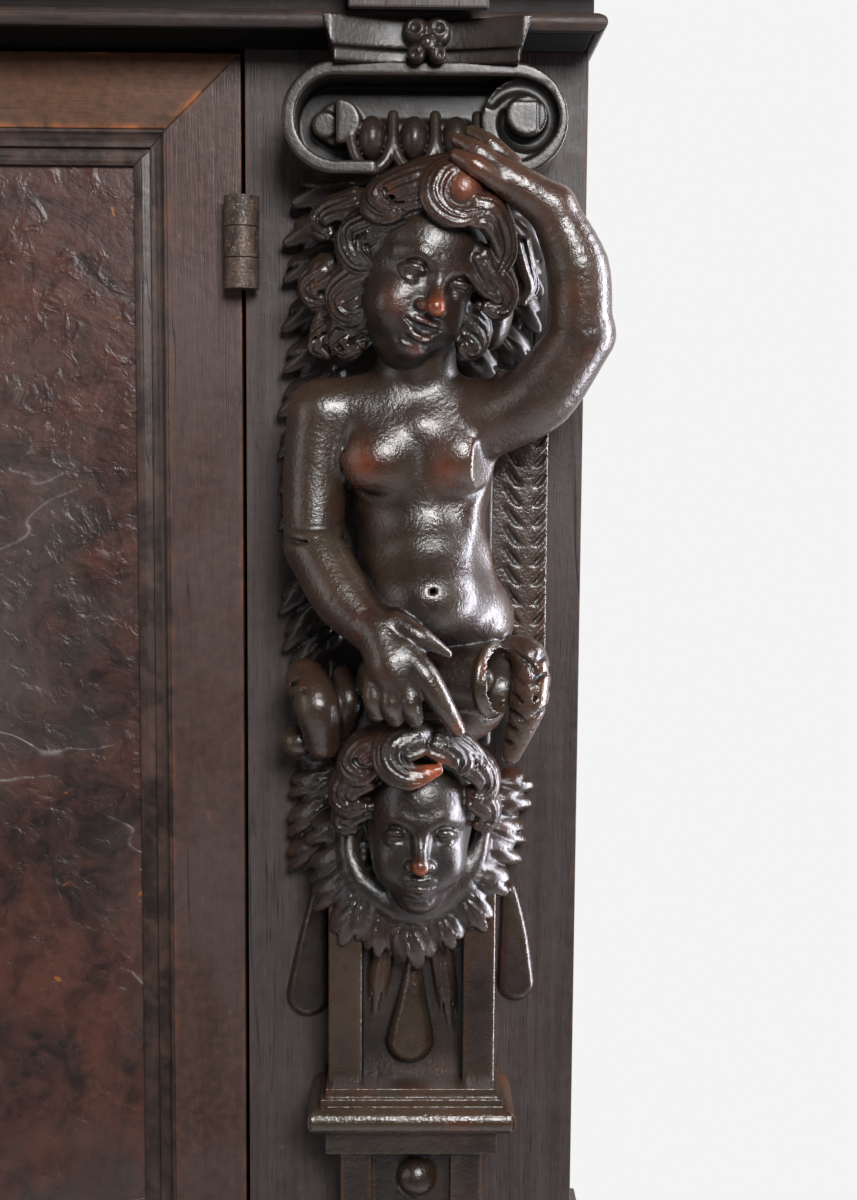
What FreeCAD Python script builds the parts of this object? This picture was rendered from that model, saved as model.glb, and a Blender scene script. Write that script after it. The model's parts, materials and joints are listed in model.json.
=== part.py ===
"""Two-part walnut cabinet with carved figure pilasters, as a parametric document.

Frame: +Z up, the front faces -Y, +X to the viewer's right. The origin is on the floor, under the
centre of the cabinet's box. All sizes are in millimetres.
"""

import FreeCAD
import Part
import Sketcher
import math
import os

# Driving dimensions, written once each into the sheet.
SIZES = {
    # cases
    "upper_width": 1120,
    "upper_depth": 470,
    "lower_width": 1180,
    "lower_depth": 520,
    "ledge": 55,
    "foot_height": 60,
    "foot_radius": 42,
    "foot_neck": 24,
    "foot_inset": 38,
    "plinth_height": 90,
    "plinth_fascia": 52,
    "upper_base_height": 50,
    "upper_base_fascia": 26,
    "base_reach": 15,
    "base_lip": 4,
    "door_height": 740,
    "drawer_opening": 100,
    "frieze_height": 90,
    "cornice_height": 80,
    # boards
    "board_thick": 20,
    "side_thick": 22,
    "stile_width": 170,
    "stile_thick": 28,
    "back_thick": 12,
    "back_gap": 1,
    "shelf_thick": 18,
    "shelf_setback": 62,
    "cleat_size": 18,
    "divider_width": 60,
    "peg_radius": 9,
    "peg_height": 25,
    "peg_clear": 0.4,
    # mouldings
    "architrave_width": 6,
    "architrave_height": 9,
    "architrave_nose": 4,
    "head_end_setback": 2,
    "head_front_setback": 18,
    "waist_reach": 20,
    "waist_height": 32,
    "waist_lip": 5,
    "cornice_reach": 45,
    "cornice_lip": 6,
    "cornice_bed": 10,
    "cornice_cove": 20,
    "corona_reach": 30,
    "corona_height": 22,
    "crown_radius": 12,
    "frieze_block_width": 64,
    "apron_step": 5,
    "apron_thick": 5,
    "apron_lap": 16,
    # doors
    "door_gap": 2,
    "meeting_gap": 3,
    "door_thick": 24,
    "frame_width": 37,
    "groove_depth": 9,
    "groove_back": 5,
    "panel_thick": 10,
    "panel_clear": 0.2,
    "panel_edge_clear": 0.5,
    "bead_width": 17,
    "bead_height": 8.2,
    "bead_fillet": 1.7,
    "bead_cove_width": 5,
    "bead_cove_depth": 3,
    "bead_cove_radius": 5.2,
    "bead_land": 1.8,
    "bead_step": 2.6,
    "bead_swell": 12,
    "bead_lip": 3,
    # hinges
    "hinge_inset": 93,
    "hinge_length": 45,
    "barrel_radius": 8.7,
    "barrel_clear": 0.4,
    "barrel_standoff": 0.3,
    "pin_radius": 3,
    "pin_clear": 0.05,
    "leaf_thick": 1.6,
    "leaf_gap": 0.15,
    "leaf_depth": 22,
    # locks
    "lock_width": 46,
    "lock_height": 72,
    "lock_depth": 14,
    "lock_wall": 1.5,
    "bolt_length": 34,
    "bolt_height": 12,
    "bolt_thick": 8,
    "bolt_clear": 0.3,
    "shank_radius": 2.8,
    "shank_clear": 0.5,
    "key_reach": 24,
    "bow_radius": 10,
    "bow_wire": 2.2,
    "bit_height": 11,
    "bit_thick": 2.4,
    "bit_length": 8,
    "bit_clear": 1.5,
    "escutcheon_width": 22,
    "escutcheon_height": 40,
    "escutcheon_thick": 2,
    # drawers
    "drawer_clear": 0.3,
    "drawer_front_gap": 1.5,
    "drawer_front": 24,
    "drawer_wall": 10,
    "drawer_bottom": 8,
    "drawer_run": 380,
    "drawer_wall_height": 80,
    "guide_size": 18,
    "knob_radius": 13,
    "knob_neck": 6,
    "knob_length": 30,
    "knob_foot": 5,
    # pilasters
    "volute_radius": 25,
    "volute_spread": 44,
    "capital_reach": 45,
    "capital_block": 38,
    "abacus_height": 16,
    "abacus_half": 48,
    "abacus_reach": 57,
    "rosette_radius": 10,
    "rosette_reach": 5,
    "base_block_height": 50,
    "base_block_half": 46,
    "base_block_reach": 40,
    "pedestal_height": 142,
    "boss_drop": 24,
    "pedestal_half": 36,
    "pedestal_reach": 32,
    "panel_recess": 10,
    "strip_width": 16,
    "boss_radius": 7,
    "boss_reach": 5,
    "neck_half": 40,
    "neck_reach": 40,
    "fillet_reach": 3,
    "fillet_height": 12.5,
    "torus_seat": 6.5,
    "torus_height": 13,
    "torus_round": 6.6,
    "slab_reach": 5.5,
    "slab_height": 4,
    "slab_top_height": 4.5,
    "shaft_height": 53,
    "shaft_half": 42,
    "shaft_reach": 35,
    # carved figures
    "figure_reach": 92,
    "figure_clear": 2,
    "head_radius": 36,
    "head_drop": 54,
    "hair_radius": 43,
    "hair_out": 44,
    "hair_drop": 45,
    "neck_radius": 17,
    "neck_out": 45,
    "shoulder_drop": 116,
    "shoulder_side": 43,
    "shoulder_out": 42,
    "shoulder_radius": 16,
    "chest_radius": 39,
    "chest_drop": 134,
    "body_out": 38,
    "waist_radius": 32,
    "waist_drop": 182,
    "hip_radius": 34,
    "hip_drop": 220,
    "elbow_radius": 14.5,
    "wrist_radius": 10.5,
    "finger_radius": 8.5,
    "raised_elbow_side": 74,
    "raised_elbow_out": 66,
    "raised_elbow_drop": 74,
    "raised_wrist_side": 58,
    "raised_wrist_out": 71,
    "raised_wrist_drop": 20,
    "raised_hand_side": 26,
    "raised_hand_out": 73,
    "raised_hand_drop": 3,
    "lowered_elbow_side": 50,
    "lowered_elbow_out": 46,
    "lowered_elbow_drop": 174,
    "lowered_wrist_side": 15,
    "lowered_wrist_out": 68,
    "lowered_wrist_drop": 222,
    "lowered_hand_side": 16,
    "lowered_hand_out": 76,
    "lowered_hand_drop": 252,
    "drapery_radius": 20,
    "drapery_end_radius": 18,
    "drapery_drop": 236,
    "drapery_side": 44,
    "drapery_out": 48,
    "mask_radius": 32,
    "mask_out": 45,
    "mask_rise": 78,
    "mask_hair_radius": 39,
    "mask_hair_out": 36,
    "mask_hair_rise": 91,
    "ruff_radius": 66,
    "ruff_thick": 22,
    "scroll_radius": 20,
    "scroll_rise": 138,
    "scroll_side": 46,
    "scroll_reach": 45,
    "backing_half": 54,
    "backing_thick": 12,
    "tassel_top_side": 48,
    "tassel_end_side": 56,
    "tassel_top_radius": 5,
    "tassel_radius": 10,
    "tassel_out": 9,
    "tassel_top_rise": 34,
    "tassel_drop": 30,
}

doc = FreeCAD.newDocument("cabinet")
sheet = doc.addObject("Spreadsheet::Sheet", "dims")
for row, (alias, number) in enumerate(SIZES.items(), start=1):
    sheet.set(f"A{row}", alias)
    sheet.set(f"B{row}", str(number))
    sheet.setAlias(f"B{row}", alias)
doc.recompute()


class Size:
    """A length worked out from the sheet: the expression that gives it, and its value now."""

    def __init__(self, text, value):
        self.text = text
        self.value = value

    def _join(self, sign, other, value):
        return Size(f"({self.text} {sign} {size(other).text})", value)

    def __add__(self, other):
        return self._join("+", other, self.value + size(other).value)

    def __sub__(self, other):
        return self._join("-", other, self.value - size(other).value)

    def __mul__(self, other):
        return self._join("*", other, self.value * size(other).value)

    def __truediv__(self, other):
        return self._join("/", other, self.value / size(other).value)

    def __radd__(self, other):
        return size(other) + self

    def __rsub__(self, other):
        return size(other) - self

    def __rmul__(self, other):
        return size(other) * self

    def __neg__(self):
        return Size(f"(0 - {self.text})", -self.value)


def size(number):
    """A plain number as a Size; a Size is given back as it is."""
    return number if isinstance(number, Size) else Size(f"({number})", float(number))


class Sheet:
    """The sheet's cells as Sizes, by alias."""


d = Sheet()
for alias, number in SIZES.items():
    setattr(d, alias, Size(f"dims.{alias}", float(number)))

ZERO = size(0)
X, Y, Z = FreeCAD.Vector(1, 0, 0), FreeCAD.Vector(0, 1, 0), FreeCAD.Vector(0, 0, 1)
LEFT, RIGHT = -1, 1
nodes = []


# Drawing helpers

def bind(thing, **sizes):
    for name, length in sizes.items():
        thing.setExpression(name, size(length).text)


def place(thing, x, y, z, axes=None):
    """Puts a thing's own origin at x, y, z, with its own X, Y and Z along the given axes."""
    if axes:
        thing.Placement = FreeCAD.Placement(FreeCAD.Vector(), FreeCAD.Rotation(*axes, "XYZ"))
    thing.setExpression("Placement.Base.x", size(x).text)
    thing.setExpression("Placement.Base.y", size(y).text)
    thing.setExpression("Placement.Base.z", size(z).text)
    return thing


def board(name, across, deep, high):
    """A plain sawn board between three pairs of limits."""
    box = doc.addObject("Part::Box", name)
    bind(box, Length=across[1] - across[0], Width=deep[1] - deep[0], Height=high[1] - high[0])
    return place(box, across[0], deep[0], high[0])


def rod(name, radius, length, at, axes=None):
    """A round rod that starts at a point and runs along its own Z."""
    cylinder = doc.addObject("Part::Cylinder", name)
    bind(cylinder, Radius=radius, Height=length)
    return place(cylinder, *at, axes)


def fuse(name, *pieces):
    joined = doc.addObject("Part::MultiFuse", name)
    joined.Shapes = list(pieces)
    return joined


def cut(name, base, *tools):
    result = doc.addObject("Part::Cut", name)
    result.Base = base
    result.Tool = tools[0] if len(tools) == 1 else fuse(name + "_tools", *tools)
    return result


def node(label, *pieces):
    """Names one sub-part. Several solids that share a node stay separate solids in it."""
    if len(pieces) == 1:
        part = pieces[0]
    else:
        part = doc.addObject("Part::Compound", label)
        part.Links = list(pieces)
    part.Label = label
    nodes.append(part)
    return part


def fix_corner(sketch, geometry, end, x, y):
    """Ties one corner of an outline to its two sizes."""
    for kind, axis, length in (("DistanceX", -2, x), ("DistanceY", -1, y)):
        if length is ZERO:
            sketch.addConstraint(Sketcher.Constraint("PointOnObject", geometry, end, axis))
            continue
        rule = Sketcher.Constraint(kind, -1, 1, geometry, end, length.value)
        index = sketch.addConstraint(rule)
        sketch.setExpression(f"Constraints[{index}]", length.text)


def arc_edge(start, end, radius, turn):
    """A round edge shorter than a half circle; turn is 1 for counter-clockwise, -1 for clockwise."""
    chord = end - start
    side = FreeCAD.Vector(-chord.y, chord.x, 0) * (turn / chord.Length)
    rise = math.sqrt(max(radius**2 - (chord.Length / 2) ** 2, 0))
    centre = (start + end) * 0.5 + side * rise
    first, last = (start, end) if turn > 0 else (end, start)
    angles = [math.atan2(p.y - centre.y, p.x - centre.x) for p in (first, last)]
    return Part.ArcOfCircle(Part.Circle(centre, Z, radius), *angles)


def outline(sketch, corners):
    """Draws a closed outline. A corner is (x, y), or (x, y, radius, turn) where a round edge leaves it."""
    points = [FreeCAD.Vector(c[0].value, c[1].value, 0) for c in corners]
    edges = []
    for i, corner in enumerate(corners):
        start, end = points[i], points[(i + 1) % len(points)]
        if len(corner) == 2:
            edges.append((sketch.addGeometry(Part.LineSegment(start, end)), 1, 2))
            continue
        radius, turn = corner[2:]
        index = sketch.addGeometry(arc_edge(start, end, radius.value, turn))
        edges.append((index, 1, 2) if turn > 0 else (index, 2, 1))
        rule = sketch.addConstraint(Sketcher.Constraint("Radius", index, radius.value))
        sketch.setExpression(f"Constraints[{rule}]", radius.text)
    for i, (geometry, first, last) in enumerate(edges):
        after, start_of_next, _ = edges[(i + 1) % len(edges)]
        sketch.addConstraint(Sketcher.Constraint("Coincident", geometry, last, after, start_of_next))
    for corner, (geometry, first, _) in zip(corners, edges):
        fix_corner(sketch, geometry, first, corner[0], corner[1])


def new_sketch(body, name, role, corners):
    """A sketch on one of its body's own origin planes."""
    sketch = body.newObject("Sketcher::SketchObject", name)
    plane = next(f for f in body.Origin.OriginFeatures if f.Role == role)
    sketch.AttachmentSupport = (plane, "")
    sketch.MapMode = "FlatFace"
    outline(sketch, corners)
    return sketch


def mitred_length(name, section, run, reach, mitres, at, axes):
    """One length of moulding or frame. Its own X runs along it, Y points outwards and Z is up the section.
    run is its length at Y 0. A mitred end grows by reach at Y reach, at the start, the end or both."""
    body = doc.addObject("PartDesign::Body", name)
    full = run + reach * sum(mitres)
    pad = body.newObject("PartDesign::Pad", name + "_pad")
    pad.Profile = new_sketch(body, name + "_section", "YZ_Plane", section)
    pad.setExpression("Length", full.text)
    over = size(1)
    # each saw line passes the inner corner (reach from the end, Y 0) and the outer one (the end, Y reach)
    saws = (
        [(-over, -over), (reach + over, -over), (-over, reach + over)],
        [(full + over, -over), (full + over, reach + over), (full - reach - over, -over)],
    )
    for end in (0, 1):
        if not mitres[end]:
            continue
        saw = body.newObject("PartDesign::Pocket", f"{name}_mitre_{end}")
        saw.Profile = new_sketch(body, f"{name}_saw_{end}", "XY_Plane", saws[end])
        saw.Type = "ThroughAll"
        saw.Midplane = True
    place(body, *at, axes)
    return body


# Levels and faces

back = (d.lower_depth - d.ledge + d.figure_reach) / 2
lower_door_z = d.foot_height + d.plinth_height
drawer_z = lower_door_z + d.door_height + d.board_thick
cap_z = drawer_z + d.drawer_opening
waist_z = cap_z + d.board_thick
upper_door_z = waist_z + d.upper_base_height
frieze_z = upper_door_z + d.door_height + d.board_thick
cornice_z = frieze_z + d.frieze_height


class Case:
    """One of the two cases: half its width, its front edge, its door face and the levels of its doors."""

    def __init__(self, name, width, depth, door_z):
        self.name = name
        self.half = width / 2
        self.front = back - depth
        self.face = self.front + d.ledge
        self.door_z = door_z
        self.head_z = door_z + d.door_height
        self.opening = self.half - d.stile_width
        self.hinge_levels = (
            self.door_z + d.door_gap + d.hinge_inset,
            self.head_z - d.door_gap - d.hinge_inset,
        )


class Setback:
    """The outline of a case drawn in at its two ends and its front, for a board behind its moulding."""

    def __init__(self, case, end_setback, front_setback):
        self.half = case.half - end_setback
        self.front = case.front + front_setback


lower = Case("lower", d.lower_width, d.lower_depth, lower_door_z)
upper = Case("upper", d.upper_width, d.upper_depth, upper_door_z)
SIDES = {"left": LEFT, "right": RIGHT}


def mirrored(side, low, high):
    """The limits of a piece that stands low to high from the middle, on one side of it."""
    return (side * low, side * high) if side == RIGHT else (side * high, side * low)


def moulding_round(name, section, case, reach, bottom):
    """Three lengths of moulding round the front and the two sides of a case."""
    depth = back - case.front
    front = mitred_length(
        name + "_front", section, case.half * 2, reach, (1, 1),
        (case.half + reach, case.front, bottom), (-X, -Y, Z),
    )
    right = mitred_length(
        name + "_right", section, depth, reach, (0, 1), (case.half, back, bottom), (-Y, X, Z),
    )
    left = mitred_length(
        name + "_left", section, depth, reach, (1, 0),
        (-case.half, case.front - reach, bottom), (Y, -X, Z),
    )
    return node(name, front, right, left)


def box_frame(name, case, bottom, top):
    """Four boards on edge that carry a case: front, back and two sides."""
    inner = case.half - d.board_thick
    inner_y = (case.front + d.board_thick, back - d.board_thick)
    return [
        board(name + "_front", (-case.half, case.half), (case.front, inner_y[0]), (bottom, top)),
        board(name + "_back", (-case.half, case.half), (inner_y[1], back), (bottom, top)),
        board(name + "_left_end", (-case.half, -inner), inner_y, (bottom, top)),
        board(name + "_right_end", (inner, case.half), inner_y, (bottom, top)),
    ]


# Feet: turned flattened balls under the plinth

def turned(name, corners, at, axes=None):
    """A turned piece: half its section, drawn right of the axis and revolved about it."""
    body = doc.addObject("PartDesign::Body", name)
    spin = body.newObject("PartDesign::Revolution", name + "_turn")
    half = new_sketch(body, name + "_half", "XZ_Plane", corners)
    spin.Profile = half
    spin.ReferenceAxis = (half, ["V_Axis"])
    spin.Angle = 360
    place(body, *at, axes)
    return body


foot_ball = d.foot_height - d.foot_height / 5
foot_half = [
    (ZERO, ZERO),
    (d.foot_neck, ZERO),
    (d.foot_radius, foot_ball / 3),
    (d.foot_radius, foot_ball * 2 / 3),
    (d.foot_neck, foot_ball),
    (d.foot_neck, d.foot_height),
    (ZERO, d.foot_height),
]
foot_x = lower.half - d.foot_inset
foot_ys = (lower.front + d.foot_inset, back - d.foot_inset)
feet = [
    turned(f"foot_{i}", foot_half, (x, y, ZERO))
    for i, (x, y) in enumerate((x, y) for x in (-foot_x, foot_x) for y in foot_ys)
]
node("feet", *feet)


# Plinth, and the base of the upper case: a frame of boards on edge under one base board

def base_section(height, fascia):
    """Upright fascia, then a quarter round back to a narrow lip."""
    step = d.base_reach - d.base_lip
    return [
        (ZERO, ZERO),
        (d.base_reach, ZERO),
        (d.base_reach, fascia, step, 1),
        (d.base_lip, fascia + step),
        (d.base_lip, height),
        (ZERO, height),
    ]


for case, label, moulding, bottom, fascia in (
    (lower, "plinth", "plinth_moulding", d.foot_height, d.plinth_fascia),
    (upper, "upper_base", "upper_base_moulding", waist_z, d.upper_base_fascia),
):
    under = case.door_z - d.board_thick
    boards = box_frame(label, case, bottom, under)
    boards.append(
        board(label + "_board", (-case.half, case.half), (case.front, back), (under, case.door_z))
    )
    node(label, *boards)
    moulding_round(moulding, base_section(case.door_z - bottom, fascia), case, d.base_reach, bottom)


# Case sides, backs, shelves and head boards, the same in both cases

half_nose = d.architrave_height / 2
bow = (half_nose * half_nose + d.architrave_nose * d.architrave_nose) / (d.architrave_nose * 2)
nose_root = d.architrave_width - d.architrave_nose
ARCHITRAVE = [
    (ZERO, ZERO),
    (nose_root, ZERO, bow, 1),
    (nose_root, d.architrave_height),
    (ZERO, d.architrave_height),
]

for case in (lower, upper):
    inner = case.half - d.side_thick
    door_zone = (case.door_z, case.head_z)
    behind = case.face + d.stile_thick
    back_face = back - d.back_thick
    node(
        f"{case.name}_sides",
        board(f"{case.name}_side_left", (-case.half, -inner), (behind, back), door_zone),
        board(f"{case.name}_side_right", (inner, case.half), (behind, back), door_zone),
    )
    pitch = (inner * 2 + d.back_gap) / 3
    node(
        f"{case.name}_back_boards",
        *[
            board(
                f"{case.name}_back_{i}",
                (-inner + pitch * i, -inner + pitch * (i + 1) - d.back_gap),
                (back_face, back),
                door_zone,
            )
            for i in range(3)
        ],
    )
    shelf_z = (case.door_z + case.head_z) / 2
    shelf_front = case.face + d.shelf_setback
    shelf = [
        board(
            f"{case.name}_shelf_board", (-inner, inner), (shelf_front, back_face),
            (shelf_z, shelf_z + d.shelf_thick),
        )
    ]
    for side_name, side in SIDES.items():
        shelf.append(
            board(
                f"{case.name}_cleat_{side_name}",
                mirrored(side, inner - d.cleat_size, inner),
                (shelf_front, back_face),
                (shelf_z - d.cleat_size, shelf_z),
            )
        )
    node(f"{case.name}_shelf", *shelf)
    core = Setback(case, d.head_end_setback, d.head_front_setback)
    node(
        f"{case.name}_head_board",
        board(
            f"{case.name}_head", (-core.half, core.half), (core.front, back),
            (case.head_z, case.head_z + d.board_thick),
        ),
    )
    moulding_round(f"{case.name}_architrave", ARCHITRAVE, core, d.architrave_width, case.head_z)


# Front stiles, let in for the hinge leaves, and the fixed leaves with their pins

barrel_out = d.barrel_radius + d.barrel_standoff
knuckle = (d.hinge_length - d.barrel_clear * 2) / 3


def hinge_axis(case, side):
    return side * (case.opening + (-d.door_gap / 2)), case.face - barrel_out


def leaf_plate(name, case, side, level, hand, deep):
    """A hinge plate in the gap beside the axis: hand 1 on the stile's side of it, -1 on the door's."""
    axis_x, _ = hinge_axis(case, side)
    near = axis_x + d.leaf_gap * (side * hand)
    far = axis_x + (d.leaf_gap + d.leaf_thick) * (side * hand)
    across = (near, far) if side * hand == 1 else (far, near)
    return across, deep, (level - d.hinge_length / 2, level + d.hinge_length / 2)


def hinge_half(name, case, side, level, hand):
    """One leaf: its plate, and the knuckles that it carries, with the pin in the fixed one."""
    axis_x, axis_y = hinge_axis(case, side)
    across, deep, high = leaf_plate(name, case, side, level, hand, (case.face, case.face + d.leaf_depth))
    pieces = [board(name + "_plate", across, deep, high)]
    starts = {1: (high[0], high[1] - knuckle), -1: (high[0] + knuckle + d.barrel_clear,)}[hand]
    for i, start in enumerate(starts):
        pieces.append(rod(f"{name}_knuckle_{i}", d.barrel_radius, knuckle, (axis_x, axis_y, start)))
        pieces.append(board(f"{name}_tab_{i}", across, (axis_y, case.face), (start, start + knuckle)))
    if hand == 1:
        pieces.append(rod(name + "_pin", d.pin_radius, d.hinge_length, (axis_x, axis_y, high[0])))
        return fuse(name, *pieces)
    bore = rod(name + "_bore", d.pin_radius + d.pin_clear, d.hinge_length, (axis_x, axis_y, high[0]))
    return cut(name, fuse(name + "_solid", *pieces), bore)


def leaf_recesses(name, case, side, hand):
    """What is cut away for the two leaves, from the axis of the hinge to the far face of each leaf."""
    deep = (case.face - d.barrel_standoff, case.face + d.leaf_depth)
    return [
        board(f"{name}_recess_{i}", *leaf_plate(name, case, side, level, hand, deep))
        for i, level in enumerate(case.hinge_levels)
    ]


for case in (lower, upper):
    leaves = []
    for side_name, side in SIDES.items():
        label = f"{case.name}_stile_{side_name}"
        stile = board(
            label + "_board",
            mirrored(side, case.opening, case.half),
            (case.face, case.face + d.stile_thick),
            (case.door_z, case.head_z),
        )
        node(label, cut(label, stile, *leaf_recesses(label, case, side, 1)))
        for i, level in enumerate(case.hinge_levels):
            leaves.append(hinge_half(f"{case.name}_{side_name}_leaf_{i}", case, side, level, 1))
    node(f"{case.name}_hinge_leaves", *leaves)


# Drawer section of the lower case

inner = lower.half - d.side_thick
behind = lower.front + d.stile_thick
drawer_zone = (drawer_z, cap_z)
back_face = back - d.back_thick
half_divider = d.divider_width / 2
front_zone = (lower.front, behind)
frieze_frame = [
    board("frieze_divider", (-half_divider, half_divider), front_zone, drawer_zone),
    board("frieze_back", (-inner, inner), (back_face, back), drawer_zone),
]
guides = []
wall_in = half_divider + d.drawer_front_gap
wall_out = lower.opening - d.drawer_front_gap
for side_name, side in SIDES.items():
    frieze_frame += [
        board(f"frieze_block_{side_name}", mirrored(side, lower.opening, lower.half), front_zone, drawer_zone),
        board(f"frieze_side_{side_name}", mirrored(side, inner, lower.half), (behind, back), drawer_zone),
    ]
    low, high = wall_in - d.drawer_clear - d.guide_size, wall_in - d.drawer_clear
    guide_zone = (drawer_z, drawer_z + d.guide_size)
    guides.append(board(f"guide_in_{side_name}", mirrored(side, low, high), (behind, back_face), guide_zone))
    low, high = wall_out + d.drawer_clear, wall_out + d.drawer_clear + d.guide_size
    guides.append(board(f"guide_out_{side_name}", mirrored(side, low, high), (behind, back_face), guide_zone))
node("frieze_frame", *frieze_frame)
node("drawer_guides", *guides)

knob_half = [
    (ZERO, ZERO),
    (d.knob_radius, ZERO),
    (d.knob_radius, d.knob_foot / 2),
    (d.knob_neck, d.knob_foot),
    (d.knob_neck, d.knob_length - d.knob_radius * 1.5),
    (d.knob_radius, d.knob_length - d.knob_radius),
    (d.knob_radius, d.knob_length - d.knob_radius / 2),
    (d.knob_neck, d.knob_length),
    (ZERO, d.knob_length),
]
for side_name, side in SIDES.items():
    label = f"{side_name}_drawer"
    front_high = (drawer_z + d.drawer_front_gap, cap_z - d.drawer_front_gap)
    front_back = lower.front + d.drawer_front
    run_back = front_back + d.drawer_run
    floor = drawer_z + d.drawer_clear
    walls_high = (floor, floor + d.drawer_wall_height)
    inside_out = wall_out - d.drawer_wall
    inside_in = wall_in + d.drawer_wall
    rear = run_back - d.drawer_wall
    node(
        label,
        board(label + "_front", mirrored(side, wall_in, wall_out), (lower.front, front_back), front_high),
        board(label + "_wall_in", mirrored(side, wall_in, inside_in), (front_back, run_back), walls_high),
        board(label + "_wall_out", mirrored(side, inside_out, wall_out), (front_back, run_back), walls_high),
        board(label + "_rear", mirrored(side, inside_in, inside_out), (rear, run_back), walls_high),
        board(
            label + "_bottom", mirrored(side, inside_in, inside_out), (front_back, rear),
            (floor, floor + d.drawer_bottom),
        ),
    )
    knob_at = (side * (wall_in + wall_out) / 2, lower.front, (drawer_z + cap_z) / 2)
    node(label + "_knob", turned(label + "_knob_turned", knob_half, knob_at, (X, Z, -Y)))


# Top of the lower case, its moulding, and the pegs that the upper case drops over

waist_step = d.waist_reach - d.waist_lip
WAIST = [
    (ZERO, ZERO),
    (d.waist_lip, ZERO, waist_step, -1),
    (d.waist_reach, waist_step),
    (d.waist_reach, d.waist_height),
    (ZERO, d.waist_height),
]
peg_inset = d.board_thick + d.peg_radius + d.peg_clear
peg_x = upper.half - peg_inset
peg_ys = (upper.front + peg_inset, back - peg_inset)
peg_at = [(x, y) for x in (-peg_x, peg_x) for y in peg_ys]
pegs = [rod(f"peg_{i}", d.peg_radius, d.peg_height, (x, y, waist_z)) for i, (x, y) in enumerate(peg_at)]
node("locating_pegs", *pegs)
node(
    "lower_top_board",
    board("lower_top", (-lower.half, lower.half), (lower.front, back), (cap_z, waist_z)),
)
moulding_round("waist_moulding", WAIST, lower, d.waist_reach, waist_z - d.waist_height)


# Entablature of the upper case

block_half = d.frieze_block_width / 2
apron_back = upper.front - d.apron_step
apron_front = apron_back - d.apron_thick
frieze = box_frame("frieze", upper, frieze_z, cornice_z)
for side_name, side in SIDES.items():
    middle = upper.half - d.stile_width / 2
    across = mirrored(side, middle - block_half, middle + block_half)
    frieze.append(
        fuse(
            f"frieze_block_{side_name}_upper",
            board(f"block_{side_name}", across, (apron_front, upper.front), (frieze_z, cornice_z)),
            board(
                f"apron_{side_name}", across, (apron_front, apron_back),
                (frieze_z - d.apron_lap, cornice_z),
            ),
        )
    )
node("frieze_boards", *frieze)
node(
    "top_board",
    board("dust_board", (-upper.half, upper.half), (upper.front, back), (cornice_z, cornice_z + d.board_thick)),
)
cove_top = d.cornice_bed + d.cornice_cove
corona_top = cove_top + d.corona_height
crown_start = d.cornice_reach - d.crown_radius
CORNICE = [
    (ZERO, ZERO),
    (d.cornice_lip, ZERO),
    (d.cornice_lip, d.cornice_bed, d.cornice_cove, -1),
    (d.cornice_lip + d.cornice_cove, cove_top),
    (d.corona_reach, cove_top),
    (d.corona_reach, corona_top),
    (crown_start, corona_top, d.crown_radius, 1),
    (d.cornice_reach, corona_top + d.crown_radius),
    (d.cornice_reach, d.cornice_height),
    (ZERO, d.cornice_height),
]
moulding_round("cornice", CORNICE, upper, d.cornice_reach, cornice_z)


# Doors: mitred frames with a panel moulding, a burl panel and the moving hinge leaves

def frame_of_four(name, section, centre, inner_width, inner_height, reach, rear):
    """Four mitred lengths round an opening: top, right, bottom and left. rear is the Y of their back face."""
    x, z = centre
    right, top = x + inner_width / 2, z + inner_height / 2
    left, bottom = x - inner_width / 2, z - inner_height / 2
    both = (1, 1)
    return {
        "top": mitred_length(
            name + "_top", section, inner_width, reach, both, (left - reach, rear, top), (X, Z, -Y)
        ),
        "right": mitred_length(
            name + "_right", section, inner_height, reach, both, (right, rear, top + reach), (-Z, X, -Y)
        ),
        "bottom": mitred_length(
            name + "_bottom", section, inner_width, reach, both, (right + reach, rear, bottom), (-X, -Z, -Y)
        ),
        "left": mitred_length(
            name + "_left", section, inner_height, reach, both, (left, rear, bottom - reach), (Z, -X, -Y)
        ),
    }


groove_front = d.groove_back + d.panel_thick + d.panel_clear * 2
DOOR_FRAME = [
    (ZERO, ZERO),
    (d.frame_width, ZERO),
    (d.frame_width, d.door_thick),
    (ZERO, d.door_thick),
    (ZERO, groove_front),
    (d.groove_depth, groove_front),
    (d.groove_depth, d.groove_back),
    (ZERO, d.groove_back),
]
cove_start = d.bead_width - d.bead_fillet
cove_end = cove_start - d.bead_cove_width
land_end = cove_end - d.bead_land
land_high = d.bead_height - d.bead_cove_depth
DOOR_BEAD = [
    (ZERO, ZERO),
    (d.bead_width, ZERO),
    (d.bead_width, d.bead_height),
    (cove_start, d.bead_height, d.bead_cove_radius, -1),
    (cove_end, land_high),
    (land_end, land_high),
    (land_end, land_high - d.bead_step, d.bead_swell, 1),
    (ZERO, d.bead_lip),
]



def keyhole(name, x, y, z, length, clear):
    """Round hole with a slot under it for the bit of the key, through everything from y on."""
    hole = rod(name + "_round", d.shank_radius + clear, length, (x, y, z), (X, -Z, Y))
    half_slot = d.bit_thick / 2 + clear
    slot = board(name + "_slot", (x - half_slot, x + half_slot), (y, y + length), (z - d.bit_height - clear, z))
    return fuse(name, hole, slot)


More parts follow.
